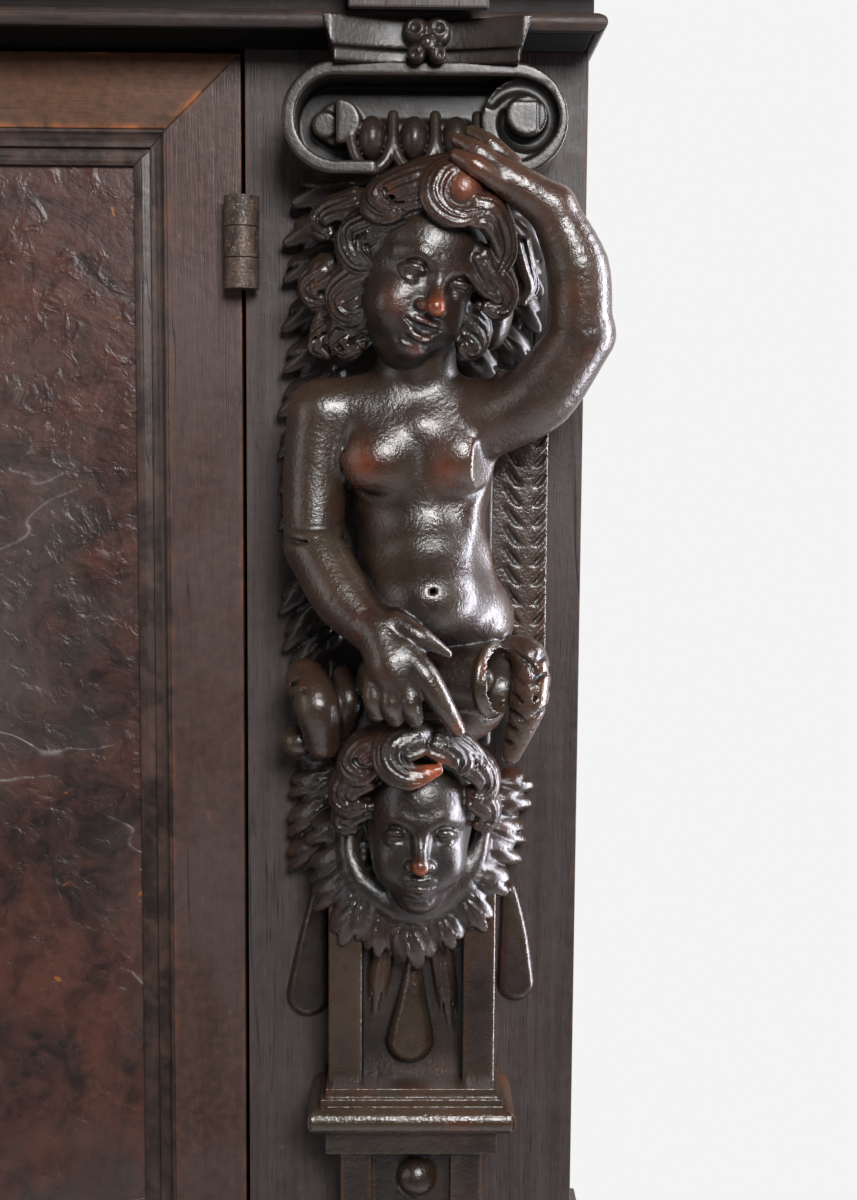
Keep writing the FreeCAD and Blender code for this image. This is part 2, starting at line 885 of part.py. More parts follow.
def lock(case, x, z):
    """Box lock on the inner face of a door, its escutcheon, its key and its sliding bolt."""
    name = case.name
    edge = x - d.frame_width / 2
    rear = case.face + d.door_thick
    deep = (rear, rear + d.lock_depth)
    across = (edge, edge + d.lock_width)
    high = (z - d.lock_height / 2, z + d.lock_height / 2)
    wall = d.lock_wall
    case_box = board(name + "_lock_box", across, deep, high)
    cavity = board(
        name + "_lock_cavity",
        (across[0] + wall, across[1] - wall),
        (deep[0] + wall, deep[1] - wall),
        (high[0] + wall, high[1] - wall),
    )
    bolt_low = z + d.bit_height + d.bit_clear
    bolt_y = (deep[0] + d.lock_depth / 2 - d.bolt_thick / 2, deep[0] + d.lock_depth / 2 + d.bolt_thick / 2)
    bolt_z = (bolt_low, bolt_low + d.bolt_height)
    mouth = board(
        name + "_lock_mouth",
        (across[0] - wall, across[0] + wall * 2),
        (bolt_y[0] - d.bolt_clear, bolt_y[1] + d.bolt_clear),
        (bolt_z[0] - d.bolt_clear, bolt_z[1] + d.bolt_clear),
    )
    way = keyhole(name + "_lock_way", x, rear - wall, z, wall * 3, d.shank_clear)
    plate_y = (case.face - d.escutcheon_thick, case.face)
    half_plate = d.escutcheon_width / 2
    plate = board(
        name + "_escutcheon_plate",
        (x - half_plate, x + half_plate),
        plate_y,
        (z - d.escutcheon_height / 2, z + d.escutcheon_height / 2),
    )
    plate_way = keyhole(
        name + "_escutcheon_way", x, plate_y[0] - wall, z, d.escutcheon_thick + wall * 2, d.shank_clear
    )
    node(
        name + "_lock",
        cut(name + "_lock_case", case_box, cavity, mouth, way),
        cut(name + "_escutcheon", plate, plate_way),
    )
    node(
        name + "_bolt",
        board(name + "_bolt_bar", (edge, edge + d.bolt_length), bolt_y, bolt_z),
    )
    tip = rear + d.lock_depth - wall * 2
    start = case.face - d.key_reach
    shank = rod(name + "_shank", d.shank_radius, tip - start, (x, start, z), (X, -Z, Y))
    bow_ring = doc.addObject("Part::Torus", name + "_bow")
    bind(bow_ring, Radius1=d.bow_radius, Radius2=d.bow_wire)
    place(bow_ring, x, start - d.bow_radius, z, (Y, Z, X))
    bit = board(
        name + "_bit",
        (x - d.bit_thick / 2, x + d.bit_thick / 2),
        (tip - d.bit_length, tip),
        (z - d.bit_height, z),
    )
    node(name + "_key", fuse(name + "_key_solid", shank, bow_ring, bit))
    return keyhole(name + "_door_way", x, case.face - wall, z, d.door_thick + wall * 2, d.shank_clear)


for case in (lower, upper):
    width = case.opening - d.door_gap - d.meeting_gap / 2
    height = d.door_height - d.door_gap * 2
    inner_width = width - d.frame_width * 2
    inner_height = height - d.frame_width * 2
    rear = case.face + d.door_thick
    middle_z = (case.door_z + case.head_z) / 2
    for side_name, side in SIDES.items():
        label = f"{case.name}_{side_name}_door"
        middle_x = side * (d.meeting_gap / 2 + width / 2)
        centre = (middle_x, middle_z)
        frame = frame_of_four(
            label + "_member", DOOR_FRAME, centre, inner_width, inner_height, d.frame_width, rear
        )
        recesses = leaf_recesses(label, case, side, -1)
        frame[side_name] = cut(label + "_hinge_stile", frame[side_name], *recesses)
        if side == RIGHT:
            way = lock(case, d.meeting_gap / 2 + d.frame_width / 2, middle_z)
            frame["left"] = cut(label + "_lock_stile", frame["left"], way)
        bead = frame_of_four(
            label + "_bead", DOOR_BEAD, centre,
            inner_width - d.bead_width * 2, inner_height - d.bead_width * 2,
            d.bead_width, rear - groove_front,
        )
        node(label + "_frame", *frame.values(), *bead.values())
        grip = d.groove_depth - d.panel_edge_clear
        panel_half = inner_width / 2 + grip
        panel_back = rear - d.groove_back - d.panel_clear
        node(
            label + "_panel",
            board(
                label + "_panel_board",
                (middle_x - panel_half, middle_x + panel_half),
                (panel_back - d.panel_thick, panel_back),
                (middle_z - inner_height / 2 - grip, middle_z + inner_height / 2 + grip),
            ),
        )
        node(
            label + "_hinges",
            *[
                hinge_half(f"{label}_leaf_{i}", case, side, level, -1)
                for i, level in enumerate(case.hinge_levels)
            ],
        )


# Pilasters: pedestal, base moulding, shaft, capital and abacus, one on another against the stile

def raised(name, case, middle, half, reach, bottom, top):
    """A block on the face of a stile, centred on its pilaster."""
    return board(name, (middle - half, middle + half), (case.face - reach, case.face), (bottom, top))


def strips(name, case, middle, half, reach, bottom, top):
    """Two upright strips that stand proud along the edges of a recessed panel."""
    return [
        board(
            f"{name}_strip_{i}",
            (middle + edge, middle + edge + d.strip_width),
            (case.face - reach, case.face),
            (bottom, top),
        )
        for i, edge in enumerate((-half, half - d.strip_width))
    ]


pedestal_top = d.base_block_height + d.pedestal_height
torus_top = d.fillet_height + d.torus_height
slab_top = torus_top + d.slab_height
moulding_height = slab_top + d.slab_top_height
moulding_top = pedestal_top + moulding_height
shaft_top = moulding_top + d.shaft_height
capital_height = d.volute_radius * 2
PILASTER_BASE = [
    (ZERO, ZERO),
    (d.fillet_reach, ZERO),
    (d.fillet_reach, d.fillet_height),
    (d.torus_seat, d.fillet_height, d.torus_round, 1),
    (d.torus_seat, torus_top),
    (d.slab_reach, torus_top),
    (d.slab_reach, slab_top),
    (d.fillet_reach, slab_top),
    (d.fillet_reach, moulding_height),
    (ZERO, moulding_height),
]
torus_swell = d.torus_round - d.torus_height / 4
base_reach = d.torus_seat + torus_swell


def base_lengths(name, case, middle, bottom):
    """Three mitred lengths round the neck of a pilaster: front, right and left."""
    front = case.face - d.neck_reach
    return [
        mitred_length(
            name + "_front", PILASTER_BASE, d.neck_half * 2, base_reach, (1, 1),
            (middle + d.neck_half + base_reach, front, bottom), (-X, -Y, Z),
        ),
        mitred_length(
            name + "_right", PILASTER_BASE, d.neck_reach, base_reach, (0, 1),
            (middle + d.neck_half, case.face, bottom), (-Y, X, Z),
        ),
        mitred_length(
            name + "_left", PILASTER_BASE, d.neck_reach, base_reach, (1, 0),
            (middle - d.neck_half, front - base_reach, bottom), (Y, -X, Z),
        ),
    ]


for case in (lower, upper):
    for side_name, side in SIDES.items():
        label = f"{case.name}_{side_name}_pilaster"
        middle = side * (case.half - d.stile_width / 2)
        z = case.door_z
        out = (X, Z, -Y)
        block_top = z + d.base_block_height
        top = z + pedestal_top
        recess = d.pedestal_reach - d.panel_recess
        pedestal = fuse(
            label + "_pedestal",
            raised(label + "_block", case, middle, d.base_block_half, d.base_block_reach, z, block_top),
            raised(label + "_dado", case, middle, d.pedestal_half, recess, block_top, top),
            *strips(label + "_dado", case, middle, d.pedestal_half, d.pedestal_reach, block_top, top),
            rod(
                label + "_boss", d.boss_radius, recess + d.boss_reach,
                (middle, case.face, top - d.boss_drop), out,
            ),
        )
        moulding = fuse(
            label + "_moulding",
            raised(label + "_neck", case, middle, d.neck_half, d.neck_reach, top, z + moulding_top),
            *base_lengths(label + "_torus", case, middle, top),
        )
        recess = d.shaft_reach - d.panel_recess
        ends = (z + moulding_top, z + shaft_top)
        shaft = fuse(
            label + "_shaft",
            raised(label + "_core", case, middle, d.shaft_half, recess, *ends),
            *strips(label + "_core", case, middle, d.shaft_half, d.shaft_reach, *ends),
        )
        abacus_z = case.head_z - d.abacus_height
        volute_z = abacus_z - d.volute_radius
        capital = fuse(
            label + "_capital",
            raised(
                label + "_bell", case, middle, d.volute_spread, d.capital_reach,
                abacus_z - d.capital_block, abacus_z,
            ),
            *[
                rod(
                    f"{label}_volute_{i}", d.volute_radius, d.capital_reach,
                    (middle + d.volute_spread * hand, case.face, volute_z), out,
                )
                for i, hand in enumerate((LEFT, RIGHT))
            ],
        )
        abacus = fuse(
            label + "_abacus",
            raised(label + "_slab", case, middle, d.abacus_half, d.abacus_reach, abacus_z, case.head_z),
            rod(
                label + "_rosette", d.abacus_height / 2, d.abacus_reach + d.rosette_reach,
                (middle, case.face, case.head_z - d.abacus_height / 2), out,
            ),
        )
        node(label, pedestal, moulding, shaft, capital, abacus)


# Carved figures: a child with one arm raised, a mask and a leaf ruff under it, on a leafy backing

def ball(name, radius, at):
    sphere = doc.addObject("Part::Sphere", name)
    bind(sphere, Radius=radius)
    return place(sphere, *at)


def limb(name, start, start_radius, end, end_radius):
    """A tapered round limb between two points."""
    shift = [b - a for a, b in zip(start, end)]
    cone = doc.addObject("Part::Cone", name)
    bind(cone, Radius1=start_radius, Radius2=end_radius)
    cone.setExpression("Height", "sqrt(" + " + ".join(f"{s.text} * {s.text}" for s in shift) + ")")
    turn = FreeCAD.Rotation(Z, FreeCAD.Vector(*[s.value for s in shift]))
    cone.Placement = FreeCAD.Placement(FreeCAD.Vector(), turn)
    return place(cone, *start)


for case in (lower, upper):
    for side_name, side in SIDES.items():
        label = f"{case.name}_{side_name}_figure"
        middle = side * (case.half - d.stile_width / 2)
        top = case.head_z - d.abacus_height - capital_height
        bottom = case.door_z + shaft_top + d.figure_clear

        def spot(across, reach, level):
            return middle + across * side, case.face - reach, level

        shoulder = top - d.shoulder_drop
        raised_arm = [
            spot(d.shoulder_side, d.shoulder_out, shoulder),
            spot(d.raised_elbow_side, d.raised_elbow_out, top - d.raised_elbow_drop),
            spot(d.raised_wrist_side, d.raised_wrist_out, top - d.raised_wrist_drop),
            spot(d.raised_hand_side, d.raised_hand_out, top - d.raised_hand_drop),
        ]
        lowered_arm = [
            spot(-d.shoulder_side, d.shoulder_out, shoulder),
            spot(-d.lowered_elbow_side, d.lowered_elbow_out, top - d.lowered_elbow_drop),
            spot(-d.lowered_wrist_side, d.lowered_wrist_out, top - d.lowered_wrist_drop),
            spot(d.lowered_hand_side, d.lowered_hand_out, top - d.lowered_hand_drop),
        ]
        thickness = [d.shoulder_radius, d.elbow_radius, d.wrist_radius, d.finger_radius]
        pieces = []
        for arm_name, joints in (("raised", raised_arm), ("lowered", lowered_arm)):
            for i, joint in enumerate(joints):
                pieces.append(ball(f"{label}_{arm_name}_{i}", thickness[i], joint))
            for i in range(len(joints) - 1):
                pieces.append(
                    limb(
                        f"{label}_{arm_name}_limb_{i}",
                        joints[i], thickness[i], joints[i + 1], thickness[i + 1],
                    )
                )
        head_out = d.figure_reach - d.head_radius
        chest = spot(ZERO, d.body_out, top - d.chest_drop)
        waist = spot(ZERO, d.body_out, top - d.waist_drop)
        hip = spot(ZERO, d.body_out, top - d.hip_drop)
        roll = top - d.drapery_drop
        ruff_z = bottom + d.ruff_radius
        scroll_z = bottom + d.scroll_rise
        out = (X, Z, -Y)
        pieces += [
            ball(label + "_head", d.head_radius, spot(ZERO, head_out, top - d.head_drop)),
            ball(label + "_hair", d.hair_radius, spot(ZERO, d.hair_out, top - d.hair_drop)),
            limb(
                label + "_neck", spot(ZERO, d.neck_out, top - d.head_drop), d.neck_radius,
                spot(ZERO, d.neck_out, shoulder), d.neck_radius + d.figure_clear,
            ),
            ball(label + "_chest", d.chest_radius, chest),
            limb(label + "_ribs", chest, d.chest_radius, waist, d.waist_radius),
            limb(label + "_belly", waist, d.waist_radius, hip, d.hip_radius),
            limb(
                label + "_drapery", spot(-d.drapery_side, d.drapery_out, roll), d.drapery_end_radius,
                spot(d.drapery_side, d.drapery_out, roll), d.drapery_radius,
            ),
            ball(label + "_mask", d.mask_radius, spot(ZERO, d.mask_out, bottom + d.mask_rise)),
            ball(
                label + "_mask_hair", d.mask_hair_radius,
                spot(ZERO, d.mask_hair_out, bottom + d.mask_hair_rise),
            ),
            rod(label + "_ruff", d.ruff_radius, d.ruff_thick, spot(ZERO, ZERO, ruff_z), out),
            raised(label + "_backing", case, middle, d.backing_half, d.backing_thick, scroll_z, top),
        ]
        for i, hand in enumerate((LEFT, RIGHT)):
            pieces += [
                rod(
                    f"{label}_scroll_{i}", d.scroll_radius, d.scroll_reach,
                    spot(d.scroll_side * hand, ZERO, scroll_z), out,
                ),
                limb(
                    f"{label}_tassel_{i}",
                    spot(d.tassel_top_side * hand, d.tassel_out, bottom + d.tassel_top_rise),
                    d.tassel_top_radius,
                    spot(d.tassel_end_side * hand, d.tassel_out, bottom - d.tassel_drop),
                    d.tassel_radius,
                ),
            ]
        reach = d.stile_width / 2
        behind = board(
            label + "_behind",
            (middle - reach, middle + reach),
            (case.face, case.face + d.figure_reach),
            (case.door_z, case.head_z),
        )
        node(label, cut(label, fuse(label + "_carving", *pieces), behind))


# Check every object, then write one file for each sub-part

doc.recompute()
for thing in doc.Objects:
    if "Invalid" in thing.State or "Error" in thing.State:
        raise RuntimeError(f"{thing.Name} did not build: {thing.State}")
os.makedirs("parts", exist_ok=True)
for part in nodes:
    shape = part.Shape
    if shape.isNull() or not shape.isValid():
        raise RuntimeError(f"{part.Label} has no sound shape")
    shape.exportStep(f"parts/{part.Label}.step")
print(f"{len(nodes)} sub-parts written")
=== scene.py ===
import json
import math

import bmesh
import bpy
import numpy as np
import openvdb
from mathutils import Matrix, Vector


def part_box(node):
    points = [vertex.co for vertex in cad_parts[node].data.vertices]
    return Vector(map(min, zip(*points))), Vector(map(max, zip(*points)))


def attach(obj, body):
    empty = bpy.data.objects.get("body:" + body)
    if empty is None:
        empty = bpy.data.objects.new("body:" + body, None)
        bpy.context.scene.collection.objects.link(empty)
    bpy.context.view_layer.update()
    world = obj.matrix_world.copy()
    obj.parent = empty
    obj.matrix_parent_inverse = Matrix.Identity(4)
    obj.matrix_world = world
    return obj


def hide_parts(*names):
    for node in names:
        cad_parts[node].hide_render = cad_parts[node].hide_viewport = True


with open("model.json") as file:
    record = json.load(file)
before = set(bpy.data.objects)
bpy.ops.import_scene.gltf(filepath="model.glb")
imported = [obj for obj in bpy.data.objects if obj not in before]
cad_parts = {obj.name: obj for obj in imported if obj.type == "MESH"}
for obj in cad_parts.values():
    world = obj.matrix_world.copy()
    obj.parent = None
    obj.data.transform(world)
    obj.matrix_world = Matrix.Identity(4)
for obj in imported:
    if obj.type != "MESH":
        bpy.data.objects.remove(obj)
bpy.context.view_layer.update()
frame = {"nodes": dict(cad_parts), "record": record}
nodes = frame["nodes"]
bodies = frame["record"]["behaviour"]["bodies"]
body_of_node = {node: body for body, names in bodies.items() for node in names}

# Case boards: sides, stiles, plinth, head boards, tops and the drawer section of both cases.
# Sawn walnut, planed by hand, nailed and glued; the arrises are worn round and the wax has gone grey.
BOARD_ARRIS = 0.0011
WORN_BAND = 0.0045


def solids(node):
    """The closed solids of a CAD node, each as a list of triangles of corner points."""
    mesh = nodes[node].data
    points = np.empty(len(mesh.vertices) * 3)
    mesh.vertices.foreach_get("co", points)
    points = points.reshape(-1, 3)
    keys = [tuple(p) for p in np.round(points * 1e6).astype(np.int64)]
    found, shell, open_edges = [], [], set()
    for face in mesh.polygons:
        corners = [keys[i] for i in face.vertices]
        shell.append([Vector(points[i]) for i in face.vertices])
        for a, b in zip(corners, corners[1:] + corners[:1]):
            open_edges ^= {frozenset((a, b))}
        if not open_edges:
            found.append(shell)
            shell = []
    return found


def eased_solid(triangles, arris, band):
    """One solid with its flat faces whole again, its sharp arrises rounded and a worn band inside them."""
    work = bmesh.new()
    for triangle in triangles:
        work.faces.new([work.verts.new(p) for p in triangle])
    bmesh.ops.remove_doubles(work, verts=work.verts, dist=1e-6)
    bmesh.ops.dissolve_limit(
        work, angle_limit=math.radians(1), verts=work.verts, edges=work.edges, use_dissolve_boundaries=False
    )
    sharp = [e for e in work.edges if e.is_manifold and e.calc_face_angle(0) > math.radians(32)]
    worn = bmesh.ops.bevel(
        work, geom=sharp, offset=arris, offset_type="OFFSET", affect="EDGES", segments=2, profile=0.5,
        material=-1, clamp_overlap=True,
    )["faces"]
    rim = {v for face in worn for v in face.verts}
    flats = [f for f in work.faces if f not in set(worn) and f.calc_area() / f.calc_perimeter() > band]
    bmesh.ops.inset_individual(work, faces=flats, thickness=band, use_even_offset=False)
    return work, rim


def lay_grain(mesh, starts, run=None):
    """Keeps, for each board of a mesh, coordinates that run along its length, so that its grain does too."""
    points = np.empty(len(mesh.vertices) * 3)
    mesh.vertices.foreach_get("co", points)
    points = points.reshape(-1, 3)
    grain = np.empty_like(points)
    for index, (first, last) in enumerate(zip(starts, starts[1:] + [len(points)])):
        board = points[first:last]
        along = int(np.argmax(board.max(0) - board.min(0))) if run is None else run
        order = [along, (along + 1) % 3, (along + 2) % 3]
        shift = 0.377 * index + 0.113 * len(mesh.name)
        grain[first:last] = board[:, order] + np.array([shift, shift * 0.7, shift * 0.3])
    mesh.attributes.new("grain", "FLOAT_VECTOR", "POINT").data.foreach_set("vector", grain.ravel())


def eased_node(node, finish, arris=BOARD_ARRIS, band=WORN_BAND, run=None, only=None):
    """A worn copy of a CAD node's boards, or only some of them, that stands for the node."""
    mesh = bpy.data.meshes.new(node + "_worn")
    whole = bmesh.new()
    wear = whole.verts.layers.float.new("wear")
    # Faces that look down are marked here for painted shade.
    soot = whole.faces.layers.float.new("soot")
    starts = []
    for index, triangles in enumerate(solids(node)):
        if only is not None and index not in only:
            continue
        work, rim = eased_solid(triangles, arris, band)
        starts.append(len(whole.verts))
        copies = {}
        for vert in work.verts:
            copies[vert] = whole.verts.new(vert.co)
            copies[vert][wear] = 1.0 if vert in rim else 0.0
        for face in work.faces:
            copy = whole.faces.new([copies[v] for v in face.verts])
            copy.smooth = False
            copy[soot] = 1.0 if face.normal.z < -0.9 else 0.0
        work.free()
    bmesh.ops.recalc_face_normals(whole, faces=whole.faces)
    whole.to_mesh(mesh)
    whole.free()
    lay_grain(mesh, starts, run)
    mesh.materials.append(finish)
    piece = bpy.data.objects.new(node + "_worn", mesh)
    bpy.context.scene.collection.objects.link(piece)
    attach(piece, body_of_node[node])
    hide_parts(node)
    return piece


class Finish:
    """The node graph of one finish. Every method adds one node and gives its output."""

    def __init__(self, name):
        self.material = bpy.data.materials.new(name)
        self.material.use_nodes = True
        self.tree = self.material.node_tree
        self.shader = self.tree.nodes["Principled BSDF"]

    def node(self, kind, output, settings=(), **inputs):
        made = self.tree.nodes.new("ShaderNode" + kind)
        for key, value in dict(settings).items():
            setattr(made, key, value)
        for key, value in inputs.items():
            key = int(key[1:]) if key[0] == "_" else key.replace("_", " ")
            self.put(made.inputs[key], value)
        return made.outputs[output]

    def put(self, socket, value):
        if isinstance(value, bpy.types.NodeSocket):
            self.tree.links.new(value, socket)
        else:
            socket.default_value = value

    def kept(self, name, output="Vector"):
        return self.node("Attribute", output, {"attribute_name": name})

    def place(self):
        return self.node("TexCoord", "Object")

    def stretch(self, vector, scale, turn=(0, 0, 0)):
        return self.node("Mapping", "Vector", Vector=vector, Scale=scale, Rotation=turn)

    def noise(self, vector, scale, detail=4.0, rough=0.55, swirl=0.0):
        return self.node(
            "TexNoise", "Fac", Vector=vector, Scale=scale, Detail=detail, Roughness=rough, Distortion=swirl
        )

    def ramp(self, value, *stops):
        out = self.node("ValToRGB", "Color", Fac=value)
        band = out.node.color_ramp
        while len(band.elements) < len(stops):
            band.elements.new(1.0)
        for element, (at, colour) in zip(band.elements, stops):
            element.position = at
            element.color = (colour,) * 3 + (1,) if isinstance(colour, (int, float)) else tuple(colour) + (1,)
        return out

    def sum(self, kind, a, b):
        return self.node("Math", "Value", {"operation": kind}, _0=a, _1=b)

    def times(self, a, b):
        return self.sum("MULTIPLY", a, b)

    def plus(self, a, b):
        return self.sum("ADD", a, b)

    def less(self, a, b):
        return self.sum("SUBTRACT", a, b)

    def thin_line(self, value, width):
        """A thin line wherever a noise crosses its middle."""
        return self.ramp(self.sum("ABSOLUTE", self.less(value, 0.5), 0.0), (0.0, 1.0), (width, 0.0))

    def mix(self, share, a, b, kind="MIX"):
        colours = [c if isinstance(c, bpy.types.NodeSocket) else tuple(c) + (1,) for c in (a, b)]
        return self.node(
            "Mix", 2, {"data_type": "RGBA", "blend_type": kind}, _0=share, _6=colours[0], _7=colours[1]
        )

    def bump(self, height, strength, depth, under=None):
        out = self.node("Bump", "Normal", Height=height, Strength=strength, Distance=depth)
        if under is not None:
            self.put(out.node.inputs["Normal"], under)
        return out

    def set(self, **inputs):
        for key, value in inputs.items():
            self.put(self.shader.inputs[key.replace("_", " ")], value)
        return self.material


def scaled_colour(colour, share):
    return [c * share for c in colour]


def walnut(name, dark, pale, bloom, rub, bloom_share=0.5, wear=0.5, gloss=0.48, wax=0.25, open_grain=1.0):
    """Old waxed walnut: streaks along the grain, open pores, splits, a grey bloom and red-brown rubs, and
    painted shade on faces that look down.
    """
    finish = Finish(name)
    grain = finish.kept("grain")
    place = finish.place()
    fine = finish.noise(finish.stretch(grain, (7, 230, 230)), 1.0, 5.0, 0.6, 0.4)
    broad = finish.noise(finish.stretch(grain, (2.2, 24, 24)), 1.0, 4.0, 0.6, 1.2)
    pores = finish.noise(finish.stretch(grain, (60, 1300, 1300)), 1.0, 2.0, 0.5)
    patches = finish.noise(place, 6.0, 6.0, 0.62, 0.5)
    spots = finish.noise(place, 42.0, 6.0, 0.65, 0.6)
    mottle = finish.noise(place, 190.0, 4.0, 0.6)
    figure = finish.plus(finish.times(fine, 0.42 * open_grain), finish.times(broad, 0.34))
    figure = finish.plus(figure, finish.times(mottle, 0.66 - 0.42 * open_grain))
    tone = finish.ramp(figure, (0.36, dark), (0.64, pale))
    tone = finish.mix(finish.ramp(patches, (0.42, 0.0), (0.66, bloom_share)), tone, bloom)
    tone = finish.mix(finish.ramp(pores, (0.58, 0.0), (0.72, 0.6 * open_grain)), tone, scaled_colour(dark, 0.3))
    rubbed = finish.ramp(spots, (0.655, 0.0), (0.72, 0.55 * wear))
    worn = finish.times(finish.kept("wear", "Fac"), finish.ramp(spots, (0.46, 0.0), (0.66, wear)))
    tone = finish.mix(finish.sum("MAXIMUM", rubbed, worn), tone, rub)
    tone = finish.mix(finish.ramp(mottle, (0.70, 0.0), (0.73, wear)), tone, scaled_colour(rub, 1.6))
    line = finish.noise(finish.stretch(grain, (1.6, 46, 46)), 1.0, 3.0, 0.6, 0.6)
    split = finish.thin_line(line, 0.009)
    split = finish.times(split, finish.ramp(patches, (0.50, 0.0), (0.60, 1.0)))
    tone = finish.mix(finish.times(split, 0.85), tone, scaled_colour(dark, 0.2))
    # Painted shade: faces that look down are darkened nearly to black and made a little rougher.
    soot = finish.kept("soot", "Fac")
    tone = finish.mix(finish.times(soot, 0.9), tone, scaled_colour(dark, 0.15))
    height = finish.less(fine, finish.times(pores, 0.6))
    height = finish.less(finish.plus(height, mottle), split)
    bump = finish.bump(height, 0.2 + 0.2 * open_grain, 0.0007)
    bump = finish.bump(patches, 0.25, 0.004, bump)
    shine = finish.ramp(spots, (0.30, gloss - 0.12), (0.72, gloss + 0.14))
    shine = finish.plus(shine, finish.times(soot, 0.4))
    return finish.set(
        Base_Color=tone, Roughness=shine, Normal=bump,
        Specular_IOR_Level=wax, Coat_Weight=0.06, Coat_Roughness=0.4,
    )


case_walnut = walnut(
    "case_walnut", (0.034, 0.024, 0.022), (0.078, 0.060, 0.057), (0.090, 0.078, 0.078), (0.13, 0.055, 0.03)
)
for node in (
    "plinth", "lower_sides", "lower_stile_left", "lower_stile_right", "frieze_frame", "lower_top_board",
    "upper_base", "upper_sides", "upper_stile_left", "upper_stile_right", "frieze_boards",
    "left_drawer", "right_drawer",
):
    eased_node(node, case_walnut)
# Painted shade: the head boards get a near-black walnut for the shadowed recess under the frieze.
sooty_walnut = walnut(
    "sooty_walnut", (0.008, 0.006, 0.005), (0.016, 0.012, 0.010), (0.02, 0.016, 0.015), (0.05, 0.02, 0.012),
    bloom_share=0.4, wear=0.2, gloss=0.6, wax=0.15,
)
for node in ("lower_head_board", "upper_head_board"):
    eased_node(node, sooty_walnut)

# Inside boards: backs, shelves, drawer guides and the dust board on top.
# Plain sawn walnut that was never polished, paler and dry.
inside_walnut = walnut(
    "inside_walnut", (0.075, 0.045, 0.028), (0.17, 0.11, 0.07), (0.16, 0.13, 0.10), (0.20, 0.11, 0.05),
    bloom_share=0.4, wear=0.3, gloss=0.62,
)
for node in (
    "lower_back_boards", "upper_back_boards", "lower_shelf", "upper_shelf", "drawer_guides", "top_board",
):
    eased_node(node, inside_walnut)

# Mouldings: plinth, waist, base, architraves and cornice, run in lengths and mitred at the corners.
# Dark waxed walnut, with the same worn arrises as the boards.
moulding_walnut = walnut(
    "moulding_walnut", (0.022, 0.016, 0.014), (0.060, 0.045, 0.041), (0.080, 0.070, 0.067),
    (0.12, 0.05, 0.026), bloom_share=0.5, wear=0.3, gloss=0.42,
)
for node in (
    "plinth_moulding", "waist_moulding", "upper_base_moulding",
    "lower_architrave", "upper_architrave", "cornice",
):
    eased_node(node, moulding_walnut, band=0.0025)

# Turned pieces: feet, drawer knobs and the pegs under the upper case.
# Walnut turned on a pole lathe and waxed.
turned_walnut = walnut(
    "turned_walnut", (0.022, 0.014, 0.012), (0.06, 0.038, 0.03), (0.08, 0.066, 0.06), (0.15, 0.06, 0.025),
    bloom_share=0.35, wear=0.6, gloss=0.36,
)
for node in ("feet", "left_drawer_knob", "right_drawer_knob", "locating_pegs"):
    eased_node(node, turned_walnut, band=0.0015)

# Doors: mitred frames with a stepped panel moulding glued in.
# Red-brown varnished walnut, the rails warmer than the stiles and the moulding darker, orange on its worn
# arrises. Each panel is burl veneer, blistered and cracked, set in its frame.
DOOR_ARRIS = 0.0008
DOOR_BAND = 0.003
stile_walnut = walnut(
    "stile_walnut", (0.040, 0.022, 0.017), (0.092, 0.050, 0.040), (0.105, 0.080, 0.078), (0.24, 0.075, 0.03),
    bloom_share=0.55, wear=0.5, gloss=0.40, wax=0.3, open_grain=0.35,
)
rail_walnut = walnut(
    "rail_walnut", (0.060, 0.024, 0.011), (0.145, 0.058, 0.026), (0.115, 0.082, 0.068), (0.42, 0.13, 0.03),
    bloom_share=0.45, wear=0.8, gloss=0.40, wax=0.3, open_grain=0.35,
)
bead_walnut = walnut(
    "bead_walnut", (0.014, 0.009, 0.007), (0.045, 0.028, 0.023), (0.060, 0.048, 0.044), (0.17, 0.08, 0.05),
    bloom_share=0.4, wear=0.3, gloss=0.38, wax=0.45, open_grain=0.2,
)


